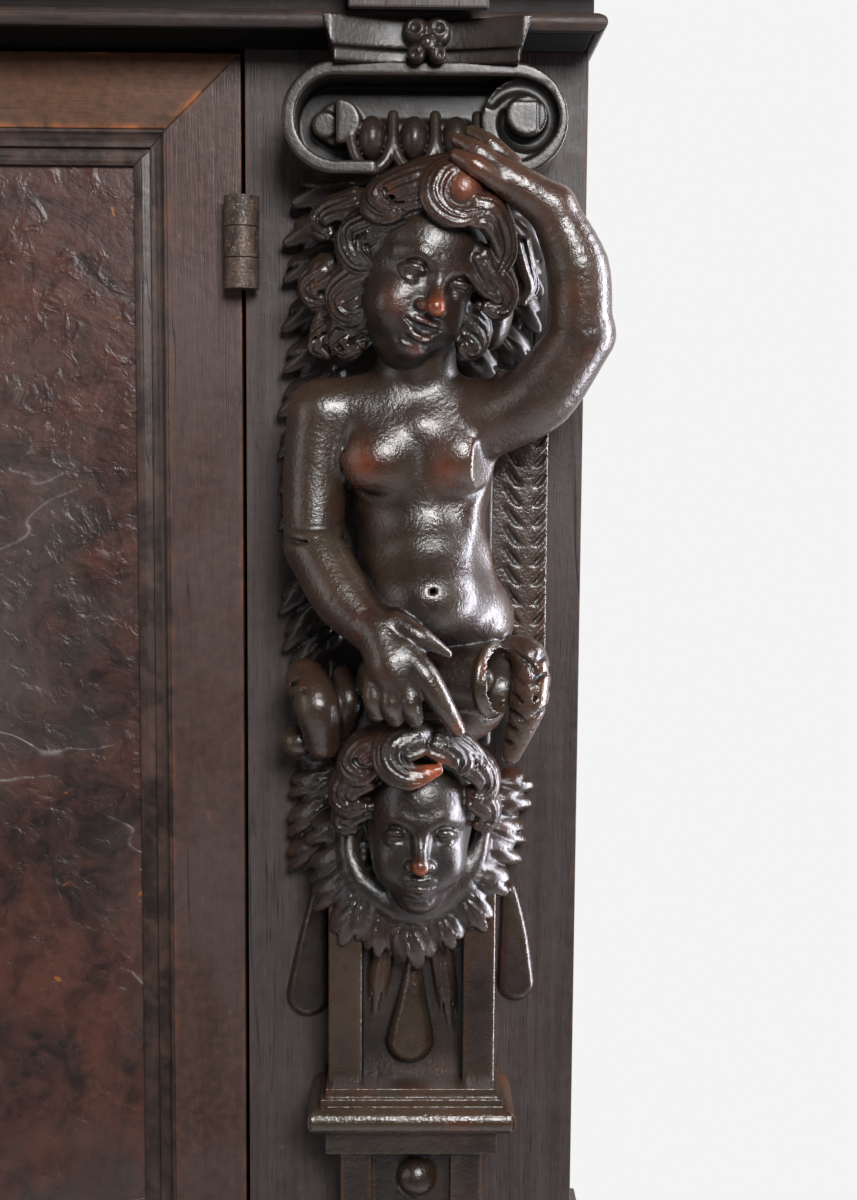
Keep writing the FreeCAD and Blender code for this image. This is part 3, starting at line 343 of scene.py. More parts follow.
def burl_veneer(name, dark, red, grey, scuff):
    """Burl veneer: swirled red-brown figure under a dull varnish, with scuffs and lifted cracks."""
    finish = Finish(name)
    place = finish.place()
    swirl = finish.noise(place, 11.0, 6.0, 0.62, 2.2)
    curl = finish.noise(place, 60.0, 5.0, 0.6, 1.4)
    haze = finish.noise(place, 5.0, 4.0, 0.6, 0.3)
    grit = finish.noise(place, 260.0, 3.0, 0.6)
    figure = finish.plus(finish.times(swirl, 0.6), finish.times(curl, 0.4))
    tone = finish.ramp(figure, (0.39, dark), (0.61, red))
    high = finish.node("SeparateXYZ", "Z", Vector=place)
    # The grey mixed in grows stronger towards the top.
    greyer_upwards = finish.plus(haze, finish.times(finish.less(high, 1.58), 0.35))
    tone = finish.mix(finish.ramp(greyer_upwards, (0.42, 0.0), (0.60, 0.75)), tone, grey)
    tone = finish.mix(finish.ramp(grit, (0.62, 0.0), (0.74, 0.6)), tone, scaled_colour(dark, 0.3))
    flake = finish.noise(place, 58.0, 4.0, 0.6, 0.8)
    tone = finish.mix(finish.ramp(flake, (0.715, 0.0), (0.735, 0.9)), tone, (0.30, 0.10, 0.03))
    wander = finish.noise(finish.stretch(place, (4.2, 4.2, 9.5), (0, 0.35, 0)), 1.0, 3.0, 0.5, 0.5)
    crack = finish.thin_line(wander, 0.0045)
    crack = finish.times(crack, finish.ramp(haze, (0.46, 0.0), (0.56, 1.0)))
    crack = finish.times(crack, finish.ramp(curl, (0.40, 0.2), (0.56, 1.0)))
    tone = finish.mix(finish.times(crack, 0.6), tone, scuff)
    height = finish.plus(finish.times(curl, 0.6), finish.times(grit, 0.35))
    bump = finish.bump(height, 0.45, 0.0016)
    blister = finish.ramp(finish.noise(place, 75.0, 3.0, 0.55, 0.6), (0.52, 0.0), (0.68, 1.0))
    lifted = finish.plus(finish.times(blister, 0.5), finish.times(crack, 0.5))
    bump = finish.bump(finish.plus(swirl, lifted), 0.38, 0.0028, bump)
    shine = finish.ramp(curl, (0.30, 0.34), (0.70, 0.50))
    return finish.set(
        Base_Color=tone, Roughness=shine, Normal=bump,
        Specular_IOR_Level=0.55, Coat_Weight=0.1, Coat_Roughness=0.3,
    )


burl = burl_veneer(
    "burl_veneer", (0.018, 0.010, 0.008), (0.090, 0.029, 0.019), (0.078, 0.064, 0.056), (0.36, 0.32, 0.30)
)
for case in ("upper", "lower"):
    for side in ("left", "right"):
        door = f"{case}_{side}_door_frame"
        for part, finish in (((1, 3), stile_walnut), ((0, 2), rail_walnut), ((4, 5, 6, 7), bead_walnut)):
            eased_node(door, finish, DOOR_ARRIS, DOOR_BAND, only=part)
        eased_node(f"{case}_{side}_door_panel", burl)

# Iron: the barrel hinges with their pins, and the locks, keys and bolts of the two right-hand doors.
# Forged and filed, fixed to the wood, rusted brown and waxed over, bright in a few bare spots.
IRON_ARRIS = 0.0004
IRON_BAND = 0.001


def forged_iron(name, black, rust, bare):
    """Old forged iron: brown rust in patches and pits over a dark scale, bare and bright in a few spots."""
    finish = Finish(name)
    place = finish.place()
    patches = finish.noise(place, 120.0, 5.0, 0.65, 0.5)
    pits = finish.noise(place, 700.0, 3.0, 0.6)
    tone = finish.ramp(patches, (0.38, black), (0.62, rust))
    tone = finish.mix(finish.ramp(pits, (0.58, 0.0), (0.70, 0.6)), tone, bare)
    tone = finish.mix(finish.ramp(pits, (0.30, 0.8), (0.42, 0.0)), tone, scaled_colour(black, 0.3))
    bump = finish.bump(finish.plus(patches, finish.times(pits, 0.6)), 0.5, 0.0012)
    shine = finish.ramp(pits, (0.3, 0.56), (0.7, 0.34))
    return finish.set(Base_Color=tone, Roughness=shine, Normal=bump, Metallic=0.25, Specular_IOR_Level=0.45)


iron = forged_iron("forged_iron", (0.035, 0.024, 0.020), (0.115, 0.074, 0.054), (0.36, 0.28, 0.22))
for case in ("upper", "lower"):
    for node, slot in (
        (f"{case}_hinge_leaves", "hinge_iron"), (f"{case}_left_door_hinges", "hinge_iron"),
        (f"{case}_right_door_hinges", "hinge_iron"), (f"{case}_lock", "lock_iron"),
        (f"{case}_key", "lock_iron"), (f"{case}_bolt", "lock_iron"),
    ):
        eased_node(node, iron, IRON_ARRIS, IRON_BAND)

# Pilasters: pedestal, moulded base and panelled shaft, one glued on each of the four broad stiles.
# Walnut cut square and polished nearly black, with worn arrises. The carving stands on and above them.
LOCAL_HEAD = 640.0
MM = 0.001
NEAR_PILASTER = ("upper", "right")
PILASTERS = {}
for case in ("upper", "lower"):
    for side, hand in (("left", -1), ("right", 1)):
        low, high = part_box(f"{case}_stile_{side}")
        middle = (low.x + high.x) / 2
        PILASTERS[case, side] = (hand, Vector((middle, low.y, high.z)))


def polished_carving(name, dark, warm, olive, rub, dull=0.0, skin=0.33, polish=0.8):
    """Nearly black polished walnut: a fine leathery skin, brown and olive tones, red high spots, painted
    shade in its hollows and a painted highlight on its ridges.
    """
    finish = Finish(name)
    place = finish.place()
    dimples = finish.noise(place, 520.0, 3.0, 0.6)
    ripples = finish.noise(place, 150.0, 3.0, 0.55)
    patches = finish.noise(place, 16.0, 4.0, 0.55)
    spots = finish.noise(place, 34.0, 5.0, 0.6, 0.3)
    tone = finish.ramp(patches, (0.36, dark), (0.68, warm))
    tone = finish.mix(finish.ramp(spots, (0.40, 0.45), (0.52, 0.0)), tone, olive)
    proud = finish.kept("wear", "Fac")
    # low marks painted shade in creases and hollows; proud marks high spots.
    low = finish.kept("grime", "Fac")
    # Painted highlight: ridges are lightened towards a pale golden olive.
    tone = finish.mix(finish.times(proud, 0.12), tone, scaled_colour(olive, 3.6))
    rubbed = finish.times(proud, finish.ramp(spots, (0.50, 0.0), (0.78, 0.5)))
    rubbed = finish.sum("MAXIMUM", rubbed, finish.ramp(spots, (0.64, 0.0), (0.80, 0.5)))
    tone = finish.mix(rubbed, tone, scaled_colour(rub, 0.5))
    bare = finish.times(finish.kept("rub", "Fac"), finish.ramp(ripples, (0.30, 0.45), (0.62, 1.0)))
    tone = finish.mix(bare, tone, rub)
    # Painted shade: creases and hollows are darkened nearly to black.
    tone = finish.mix(finish.times(low, 0.95), tone, scaled_colour(dark, 0.15))
    height = finish.plus(dimples, finish.times(ripples, 0.6))
    bump = finish.bump(height, skin, 0.0012)
    shine = finish.ramp(ripples, (0.3, 0.25 + dull), (0.75, 0.40 + dull))
    shine = finish.plus(shine, finish.times(low, 0.15))
    shine = finish.less(shine, finish.times(proud, 0.10))
    return finish.set(
        Base_Color=tone, Roughness=shine, Normal=bump,
        Specular_IOR_Level=polish, Coat_Weight=0.12, Coat_Roughness=0.15,
    )


carved_walnut = polished_carving(
    "carved_walnut", (0.012, 0.007, 0.005), (0.060, 0.030, 0.019), (0.042, 0.031, 0.018), (0.26, 0.05, 0.014)
)
# Painted shade: a darker copy of the carved walnut for the head and the mask, which take less light than the
# body.
head_walnut = polished_carving(
    "head_walnut", (0.008, 0.005, 0.004), (0.034, 0.016, 0.010), (0.025, 0.018, 0.010), (0.28, 0.055, 0.014),
    dull=0.03,
)
# Partly painted shade: a darker, duller copy for the leafy ground, the capital and the abacus, which lie in
# shadow.
deep_walnut = polished_carving(
    "deep_walnut", (0.009, 0.006, 0.005), (0.027, 0.017, 0.013), (0.024, 0.019, 0.013), (0.06, 0.02, 0.01),
    dull=0.1, skin=0.16, polish=0.45,
)


class Carving:
    """A block of wood in small cubes. Each holds its depth in mm: negative in the wood, positive in the air.
    Its axes are across (to the raised arm), out (towards the room) and up, from the middle of the stile."""

    AIR = 9.0

    def __init__(self, low, high, grit):
        self.low = np.array(low, float)
        self.grit = grit
        self.size = np.ceil((np.array(high, float) - self.low) / grit).astype(int) + 1
        self.depth = np.full(self.size, self.AIR, np.float32)
        self.rubs = []

    def window(self, low, high, margin):
        first = np.floor((np.array(low) - margin - self.low) / self.grit).astype(int).clip(0, self.size)
        last = np.ceil((np.array(high) + margin - self.low) / self.grit).astype(int).clip(0, self.size)
        axes = [(self.low[i] + self.grit * np.arange(first[i], last[i])).astype(np.float32) for i in range(3)]
        grid = axes[0][:, None, None], axes[1][None, :, None], axes[2][None, None, :]
        return tuple(slice(a, b) for a, b in zip(first, last)), grid

    def add(self, form, soft=2.0):
        """Joins a form on, with a rounded inner corner as wide as soft."""
        field, low, high = form
        where, grid = self.window(low, high, soft + 4 * self.grit)
        self.depth[where] = soft_least(self.depth[where], field(*grid), soft)

    def cut(self, form, soft=1.0):
        """Takes a form out."""
        field, low, high = form
        where, grid = self.window(low, high, soft + 4 * self.grit)
        self.depth[where] = -soft_least(-self.depth[where], field(*grid), soft)

    def roll(self, path, radii, soft=2.0):
        """Joins on a round limb along a smooth path."""
        self.add(limb(bend(path), radii), soft)

    def gouge(self, path, radii, soft=1.0):
        """Takes a round groove out along a smooth path."""
        self.cut(limb(bend(path), radii), soft)

    def surface(self, step=1):
        """Corners (mm) and faces of the surface, and how proud or how deep in a hollow each corner is."""
        depth = self.depth[::step, ::step, ::step].clip(-4, 4)
        grid = openvdb.FloatGrid(4.0)
        grid.copyFromArray(depth)
        points, quads = grid.convertToQuads(0.0)
        at = tuple(np.rint(points).astype(int).clip(0, np.array(depth.shape) - 1).T)
        proud = (soft_blur(depth, int(round(3.2 / self.grit / step))) - depth)[at]
        hollow = -soft_blur(depth, int(round(9 / self.grit / step)))[at]
        return points * self.grit * step + self.low, quads, proud, hollow


def soft_least(a, b, soft):
    share = np.clip(0.5 + 0.5 * (a - b) / soft, 0, 1)
    return a * (1 - share) + b * share - soft * share * (1 - share)


def soft_blur(field, reach):
    """Box average over 2 reach + 1 cubes along each axis."""
    for axis in range(3):
        pad = [(0, 0)] * 3
        pad[axis] = (reach + 1, reach)
        total = np.cumsum(np.pad(field, pad, "edge"), axis=axis)
        count = field.shape[axis]
        ahead = np.take(total, range(2 * reach + 1, 2 * reach + 1 + count), axis=axis)
        field = (ahead - np.take(total, range(count), axis=axis)) / (2 * reach + 1)
    return field


def ball(centre, radii, turn=None):
    """A ball, or an egg of three radii, turned by the columns of a matrix."""
    centre = np.array(centre, float)
    radii = np.array(radii, float) * np.ones(3)

    def field(*at):
        p = [a - c for a, c in zip(at, centre)]
        if turn is not None:
            p = [sum(float(turn[j][i]) * p[j] for j in range(3)) for i in range(3)]
        near = np.sqrt(sum((q / r) ** 2 for q, r in zip(p, radii)))
        slope = np.sqrt(sum((q / r**2) ** 2 for q, r in zip(p, radii)))
        return near * (near - 1) / np.maximum(slope, 1e-6)

    reach = radii.max() if turn is not None else radii
    return field, centre - reach, centre + reach


def limb(path, radii):
    """A round limb through points, with a radius at each."""
    path = np.array(path, float)
    radii = np.interp(np.linspace(0, 1, len(path)), np.linspace(0, 1, len(radii)), radii)

    def field(*at):
        best = None
        for a, b, ra, rb in zip(path[:-1], path[1:], radii[:-1], radii[1:]):
            step = b - a
            along = sum((q - c) * s for q, c, s in zip(at, a, step)) / max(float(step @ step), 1e-9)
            along = np.clip(along, 0, 1)
            gap = np.sqrt(sum((q - c - along * s) ** 2 for q, c, s in zip(at, a, step)))
            gap = gap - (ra + along * (rb - ra))
            best = gap if best is None else np.minimum(best, gap)
        return best

    reach = radii.max()
    return field, path.min(0) - reach, path.max(0) + reach


def block(low, high, round_by=1.0):
    """A square block with rounded arrises."""
    low, high = np.array(low, float), np.array(high, float)
    middle, half = (low + high) / 2, (high - low) / 2 - round_by

    def field(*at):
        q = [np.abs(a - m) - h for a, m, h in zip(at, middle, half)]
        outside = np.sqrt(sum(np.maximum(v, 0) ** 2 for v in q))
        return outside + np.minimum(np.maximum(np.maximum(q[0], q[1]), q[2]), 0) - round_by

    return field, low, high


def bend(points, steps=6):
    """A smooth path through a few points."""
    p = np.array(points, float)
    p = np.vstack([2 * p[0] - p[1], p, 2 * p[-1] - p[-2]])
    path = []
    for a, b, c, e in zip(p, p[1:], p[2:], p[3:]):
        for t in np.arange(steps) / steps:
            curve = 2 * b + (c - a) * t + (2 * a - 5 * b + 4 * c - e) * t**2
            path.append(0.5 * (curve + (3 * b - a - 3 * c + e) * t**3))
    return np.array(path + [p[-2]])


def hang_carving(name, carving, places, finish):
    """The carved surface as one piece on each pilaster, mirrored on the left-hand ones."""
    for key in places:
        points, quads, proud, hollow = carving.surface(1 if key == NEAR_PILASTER else 2)
        hand, head = PILASTERS[key]
        corners = np.empty_like(points)
        corners[:, 0] = head.x + hand * points[:, 0] * MM
        corners[:, 1] = head.y - points[:, 1] * MM
        corners[:, 2] = head.z + (points[:, 2] - LOCAL_HEAD) * MM
        mesh = bpy.data.meshes.new(f"{key[0]}_{key[1]}_{name}")
        mesh.from_pydata(corners.tolist(), [], (quads if hand < 0 else quads[:, ::-1]).tolist())
        # Corners proud of their surroundings carry the red rubs and a painted highlight on the ridges.
        mesh.attributes.new("wear", "FLOAT", "POINT").data.foreach_set(
            "value", np.clip(proud / 1.1, 0, 1).astype(np.float32)
        )
        # Painted shade: corners in creases and in wide hollows, such as under the chin, are marked darker.
        mesh.attributes.new("grime", "FLOAT", "POINT").data.foreach_set(
            "value", np.clip(np.maximum(-proud / 1.1, hollow / 2.2), 0, 1).astype(np.float32)
        )
        red = np.zeros(len(points))
        for at, reach, share in carving.rubs:
            red = np.maximum(red, share * np.exp(-((points - np.array(at)) ** 2).sum(1) / reach**2))
        mesh.attributes.new("rub", "FLOAT", "POINT").data.foreach_set("value", red.astype(np.float32))
        grain = np.stack([corners[:, 2], corners[:, 0], corners[:, 1]], axis=1)
        mesh.attributes.new("grain", "FLOAT_VECTOR", "POINT").data.foreach_set("vector", grain.ravel())
        mesh.shade_smooth()
        mesh.materials.append(finish)
        piece = bpy.data.objects.new(mesh.name, mesh)
        bpy.context.scene.collection.objects.link(piece)
        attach(piece, key[0] + "_case")
        yield key, piece


for case in ("upper", "lower"):
    for side in ("left", "right"):
        node = f"{case}_{side}_pilaster"
        eased_node(node, carved_walnut, arris=0.0012, band=0.002, only=(0, 1))

# Child's head: a plain putto face, leaning and half turned, under thick locks of hair.
# Carved in the round from the same baulk as the pilaster and polished nearly black.
HEAD_GRIT = 0.75


class Pose:
    """Where a carved head sits and how it is turned: across, forward and up from its middle."""

    def __init__(self, at, scale, right=0.0, lean=0.0, down=0.0):
        self.at = np.array(at, float)
        self.scale = np.array(scale, float)
        self.mean = float(self.scale.mean())
        right, lean, down = (math.radians(a) for a in (right, lean, down))
        nod = np.array([[1, 0, 0], [0, math.cos(down), math.sin(down)], [0, -math.sin(down), math.cos(down)]])
        look = np.array(
            [[math.cos(right), math.sin(right), 0], [-math.sin(right), math.cos(right), 0], [0, 0, 1]]
        )
        tip = np.array([[math.cos(lean), 0, math.sin(lean)], [0, 1, 0], [-math.sin(lean), 0, math.cos(lean)]])
        self.turn = tip @ look @ nod

    def point(self, p):
        return self.at + self.turn @ (np.array(p, float) * self.scale)

    def ball(self, at, radii):
        return ball(self.point(at), np.array(radii, float) * np.ones(3) * self.scale, self.turn)

    def limb(self, path, radii, steps=5):
        return limb(bend([self.point(p) for p in path], steps), np.array(radii) * self.mean)


def carve_face(work, pose, gape, taper=0.0, smile=2.6):
    """A child's face: smooth brow, heavy lids, short nose, full cheeks and a small mouth, open by gape."""
    work.add(pose.ball((0, -4, 8), (30, 34, 34)), 1)
    work.add(pose.ball((0, 4, -12 + 3 * taper), (24.5, 26, 28)), 9)
    work.add(pose.ball((0, 13, 15), (23, 18, 20)), 8)
    work.add(pose.ball((0, 21, -34), (9.5 - taper, 8, 7)), 8)
    work.add(pose.ball((0, 8, -38 + 3 * taper), (11 - 2 * taper, 12, 7)), 7)
    work.add(pose.ball((0, 25.5, -23.5), (9.5, 6.5, 8)), 5)
    for s in (-1, 1):
        work.add(pose.ball((s * 13.5, 16, -18 + 4 * taper), (11 - taper, 11.5, 12.5)), 7)
        work.cut(pose.ball((s * 12.8, 36, 0), (9, 9.5, 6)), 3.5)
        work.add(pose.limb([(s * 21, 19, 6), (s * 13, 28, 9.4), (s * 5, 29.4, 6.5)], (1.6, 2.2, 2.0)), 5)
        work.add(pose.ball((s * 12.8, 22, -0.8), 6.8), 0.6)
        upper_lid = [
            (19.6, 21, -1.6), (16.5, 27.2, 0.9), (12.6, 29.2, 1.7), (8.8, 27.8, 0.6), (6.2, 25.2, -1.6),
        ]
        lower_lid = [
            (19.4, 21.4, -2.4), (16.5, 26.4, -4.3), (12.6, 28, -4.9), (8.8, 27, -4), (6.2, 25.2, -2.2),
        ]
        work.add(pose.limb([(s * u, w, v) for u, w, v in upper_lid], (0.9, 1.9, 1.9, 1.1)), 1.2)
        work.add(pose.limb([(s * u, w, v) for u, w, v in lower_lid], (0.7, 1.3, 0.8)), 0.8)
        crease = [(18.6, 22.6, 2.4), (12.6, 29.8, 5.0), (7, 27.6, 2.8)]
        work.cut(pose.limb([(s * u, w, v) for u, w, v in crease], (0.4, 0.5, 0.4)), 1.4)
    work.add(pose.limb([(0, 28.6, 8), (0, 31.4, -3), (0, 36, -12)], (3.2, 3.4, 4.4)), 3.5)
    work.add(pose.ball((0, 37, -13), (4.9, 4.8, 4.4)), 1.6)
    for s in (-1, 1):
        work.add(pose.ball((s * 5.2, 31.8, -14.4), (3.4, 3.8, 3.0)), 1.2)
        work.cut(pose.ball((s * 2.6, 35.4, -17.4), (1.5, 2.2, 1.2)), 0.6)
        upper_lip = [(s * 9.4, 27.4, smile - 24.4), (s * 4.6, 31.1, -21.2), (0, 31.8, -21.8)]
        work.add(pose.limb(upper_lip, (0.6, 1.2, 1.3)), 1.6)
        low = -24.9 - 1.5 * gape
        lower_lip = [(s * 7.4, 28, low + 0.8 * smile), (s * 3.5, 30.6, low + 0.4), (0, 31.2, low)]
        work.add(pose.limb(lower_lip, (1.0, 1.9, 2.2)), 1.0)
    mouth = [(s * u, w, v) for s, u, w, v in (
        (-1, 10, 28.4, smile - 25.2), (-1, 5, 31.6, smile * 0.3 - 25.2), (1, 0, 32.2, -25.2),
        (1, 5, 31.6, smile * 0.3 - 25.2), (1, 10, 28.4, smile - 25.2),
    )]
    work.cut(pose.limb(mouth, (0.6, gape, 0.6)), 0.5)
    work.cut(pose.limb([(-6, 28.5, -32.6), (0, 30.8, -33.1), (6, 28.5, -32.6)], (0.8, 0.8)), 2.5)


def lock(work, middle, path, width, flutes):
    """A lock of hair: a smooth roll along a path, proud of the skull round its middle, with gouged flutes."""
    path = bend(path, 4)
    t = np.linspace(0, 1, len(path))[:, None]
    out = path - np.array(middle, float)
    out = out / np.linalg.norm(out, axis=1, keepdims=True)
    side = np.cross(np.gradient(path, axis=0), out)
    side = side / np.linalg.norm(side, axis=1, keepdims=True)
    half = width * (1 - 0.8 * t**2)
    thick = 1.3 * width / (flutes - 1)
    taper = np.array((0.85, 1, 0.95, 0.8, 0.35))
    lines = []
    for s in np.linspace(-1, 1, flutes):
        lines.append((path + s * half * side + (0.6 * (1 - s**2) - 0.2) * half * out, s))
    work.add(limb(path - 0.5 * width * out, (0.9 * width, 0.85 * width, 0.6 * width, 0.25 * width)), 1)
    for line, s in lines:
        work.add(limb(line, thick * taper), 1.5)
    for line, s in lines[1:-1]:
        lift = out * (1 - 0.5 * s**2) + 0.8 * s * side
        work.cut(limb(line + 1.25 * thick * lift * (1 - 0.55 * t**2), 0.66 * thick * taper), 0.15)


head = Carving((-62, -1, 468), (62, 103, 598), HEAD_GRIT)
head_pose = Pose((0.2, 55, 526), (0.93, 0.93, 0.93), right=23, lean=18.5, down=3)
head.add(limb([(0, 34, 462), (0, 45, 500)], (19, 18)), 1)
head.cut(limb([(-22, 60, 477), (0, 64, 474), (22, 60, 478)], (1.2, 1.4, 1.2)), 3)
head.add(head_pose.ball((0, -12, 12), (37, 32, 36)), 1)
head.add(ball((-32, 38, 518), (12, 14, 26)), 4)
head.add(ball((-9, 69, 556), (8, 7, 6)), 2)
head.add(ball((36, 40, 518), (11, 14, 26)), 4)
carve_face(head, head_pose, 3.0)
for path, width, strands in (
    ([(-39, 44, 504), (-46, 42, 499), (-48, 42, 492), (-42, 44, 488)], 6, 4),
    ([(-44, 46, 530), (-51, 43, 523), (-50, 43, 515), (-43, 46, 512)], 8, 5),
    ([(-28, 50, 561), (-41, 46, 557), (-46, 45, 550), (-41, 49, 544)], 8.5, 5),
    ([(-25, 55, 504), (-33, 51, 500), (-37, 49, 495), (-33, 51, 490), (-27, 55, 491)], 8, 5),
    ([(-19, 62, 527), (-29, 58, 523), (-36, 55, 517), (-35, 55, 509), (-29, 58, 505), (-23, 63, 507)], 11, 6),
    ([(-7, 71, 553), (-19, 67, 548), (-29, 62, 544), (-30, 61, 537), (-26, 64, 530), (-18, 69, 529)], 12, 7),
    ([(-19, 68, 540), (-23, 66, 536), (-21, 68, 532)], 6, 4),
    ([(16, 74, 570), (1, 76, 566), (-11, 74, 562), (-17, 73, 558), (-13, 76, 553), (-5, 79, 554)], 12.5, 7),
    ([(18, 58, 507), (27, 56, 501), (29, 55, 494), (25, 57, 490), (21, 60, 493)], 6.5, 4),
    ([(50, 44, 542), (53, 42, 530), (55, 42, 521), (51, 44, 514)], 6, 4),
    ([(29, 73, 533), (34, 71, 525), (39, 69, 520), (41, 68, 514), (38, 68, 509), (31, 70, 510)], 8.5, 5),
    ([(25, 83, 554), (32, 82, 553), (37, 79, 548), (40, 75, 541), (41, 72, 533), (37, 72, 525)], 8.5, 5),
    ([(23, 80, 572), (12, 84, 567), (8, 86, 558), (12, 87, 551), (20, 88, 548), (29, 86, 551)], 6.5, 5),
):
    lock(head, (0, 25, 525), path, width, strands)
head.add(ball((20, 78, 561), (10.5, 11, 11)), 1)
head.rubs = [
    (head_pose.point((0, 41, -14)), 6, 1.0), (head_pose.point((-17, 28, -16)), 7, 0.22),
    ((21, 90, 563), 7, 0.6), (head_pose.point((2, 31, -36)), 4, 0.35), ((-16, 82, 560), 5, 0.3),
]

# Child's body: one arm raised to the hair, the other hand resting on the mouth of a jar.
# In the round, with the jar and two curled leaves under it, joined to the leafy ground behind.
BODY_GRIT = 1.16
body = Carving((-72, -1, 286), (98, 103, 596), BODY_GRIT)
body.add(ball((1.5, 32, 432), (36, 30, 44)), 1)
body.add(ball((5, 38, 388), (33, 32, 34)), 9)
body.add(ball((6, 46, 374), (29, 33, 22)), 8)
body.add(limb([(-20, 48, 452), (2, 50, 454), (24, 48, 453)], (13, 14, 13)), 8)
body.add(ball((-17, 51.5, 440), (20.5, 16.5, 18)), 6)
body.add(ball((20.5, 51.5, 441), (19, 16.5, 17.5)), 6)
body.add(limb([(0, 34, 462), (0, 42, 490)], (20, 19)), 9)
body.add(limb([(-40, 40, 461), (-14, 42, 466)], (17, 15)), 8)
body.add(limb([(36, 46, 463), (16, 42, 464)], (15, 15)), 8)
body.roll([(25, 45, 450), (22.5, 47, 425), (21, 48, 402), (25, 48, 384)], (10.5, 10, 10, 11), 5)
FLANK_ROUND = 60
flank = np.array([(37, 50, 456), (34.5, 50, 425), (33, 50, 402), (37, 51, 390)])
flank = flank + FLANK_ROUND * np.array([0.80, 0.6, 0])
body.gouge(flank, (FLANK_ROUND, FLANK_ROUND), 1.5)
body.add(ball((27, 34, 362), (22, 27, 23)), 8)
body.add(ball((6, 50, 375), (27, 30, 21)), 8)
body.gouge([(2.5, 77, 456), (2, 72, 443), (3, 71, 424)], (1.6, 2.8, 1.8), 4)
body.cut(ball((2.5, 76, 467), (5, 8, 5)), 5)
body.gouge([(5, 72, 420), (6.5, 73, 402)], (1.2, 1.2), 4)
for s, middle in ((-1, 1), (1, 4)):
    fold = [(middle + s * 4, 64, 426), (middle + s * 17, 61.5, 420.5), (middle + s * 33, 50, 427)]
    body.gouge(fold, (1.4, 2.4, 1.6), 2)
    body.gouge([(5 + s * 10, 74, 402), (5 + s * 24, 65, 398), (5 + s * 33, 50, 401)], (1.0, 1.8, 1.6), 5)
    body.gouge([(5 + s * 16, 70, 414), (5 + s * 27, 60, 409)], (1.0, 1.0), 4)
body.cut(limb([(8, 92, 379), (8, 73, 380)], (1.4, 1.4)), 0.4)
body.gouge([(-16, 68, 362), (7, 79, 354), (30, 70, 358)], (0.8, 1.2, 0.8), 3)
body.roll([(-45, 42, 461), (-48, 43, 430), (-48.5, 46, 404)], (16.5, 15.5, 14.5), 4)
body.gouge([(-31, 62, 458), (-33.5, 56, 435), (-33, 52, 408)], (0.8, 1.6, 1.2), 2)
body.roll([(-48, 49, 398), (-34, 62, 375), (-16, 75, 358)], (14.8, 14.5, 11), 2)
for level in (410, 403):
    turn = np.radians(np.linspace(-30, 210, 14))
    ring = np.stack([-48.5 + 15.6 * np.cos(turn), 46 + 15.6 * np.sin(turn), level - 2.5 * np.sin(turn)], 1)
    body.cut(limb(ring, (0.9, 1.3, 0.9)), 1.6)
body.roll([(-16, 76, 360), (-11, 82, 346), (-7, 83, 337)], (10.5, 12, 10.5), 4)
for finger in (
    [(-18, 80, 340), (-19, 84, 331), (-17, 81, 323)],
    [(-10, 83, 338), (-11, 88, 329), (-9, 83, 321)],
    [(-2, 85, 338), (-2, 89, 329), (0, 84, 321)],
):
    body.roll(finger, (5.6, 5.2, 4.2), 1.6)
body.roll([(-5, 84, 352), (5, 89, 341), (13, 89, 328), (20, 85, 316)], (7, 6.4, 5.4, 3.8), 3)
body.roll([(-9, 79, 365), (2, 83, 359), (15, 82, 351)], (6, 5.4, 2.4), 2)
body.roll([(36, 49, 458), (58, 59, 471), (77, 68, 498)], (16.5, 17.5, 15), 5)
body.roll([(75, 69, 503), (73, 73, 528), (61, 76, 554)], (15, 14.5, 10.5), 2)
body.gouge([(57, 80, 497), (68, 86, 498), (80, 84, 500)], (1.0, 1.5, 0.8), 2)
body.roll([(40, 54, 480), (38.5, 58, 464), (36, 54, 446)], (2.5, 4, 2.5), 4)
body.roll([(61, 76, 554), (45, 80, 563), (34, 81, 569.5)], (10.8, 9.2, 7.6), 3)
for finger in (
    [(37, 84, 564), (26, 88, 570), (17, 86, 575)],
    [(38, 81, 569), (27, 84, 577), (17, 80, 583)],
    [(42, 76, 573), (32, 76, 582), (24, 72, 588)],
):
    body.roll(finger, (5.2, 4.6, 3.2), 1.0)
JAR_END = np.array([37.5, 60, 335.5])
JAR_WAY = np.array([0.86, 0.5, 0.08])
body.roll([(-14, 44, 334), (10, 52, 335), JAR_END - 3 * JAR_WAY], (14, 15.5, 17.5), 2)
RIM = [
    JAR_END + 17 * (math.cos(a) * np.array([-0.5, 0.86, 0]) + math.sin(a) * np.array([0, 0, 1]))
    for a in np.linspace(0, 2 * math.pi, 28)
]
body.cut(ball(JAR_END + 7 * JAR_WAY, 15.5), 0.6)
body.add(limb(RIM, (1.9, 1.9)), 0.8)
body.add(ball(JAR_END - 6 * JAR_WAY, 7), 1)
body.add(ball((2, 26, 318), (44, 24, 24)), 4)
body.roll([(44, 48, 351), (55, 52, 345), (55, 55, 325), (47, 52, 298)], (5, 9, 9.5, 5), 1)
body.gouge([(47, 57, 349), (57, 62, 340), (56, 65, 322), (48, 59, 302)], (0.8, 1.2, 0.8), 0.8)
for k in range(6):
    z = 345 - 8.2 * k
    body.gouge([(55, 63, z - 3), (60, 60, z + 1), (65, 53, z + 3)], (0.7, 1.6, 1.8), 0.7)
    body.gouge([(53, 63, z - 4), (48, 60, z - 1), (43, 54, z + 2)], (0.7, 1.5, 1.8), 0.7)
body.roll([(-53, 36, 332), (-47, 46, 320), (-44, 42, 302)], (10, 11.5, 9), 1.5)
body.roll([(-34, 34, 332), (-32, 42, 322), (-35, 38, 308)], (7, 8, 6), 0.8)
body.add(ball((-57, 30, 300), (9, 9, 8)), 1)
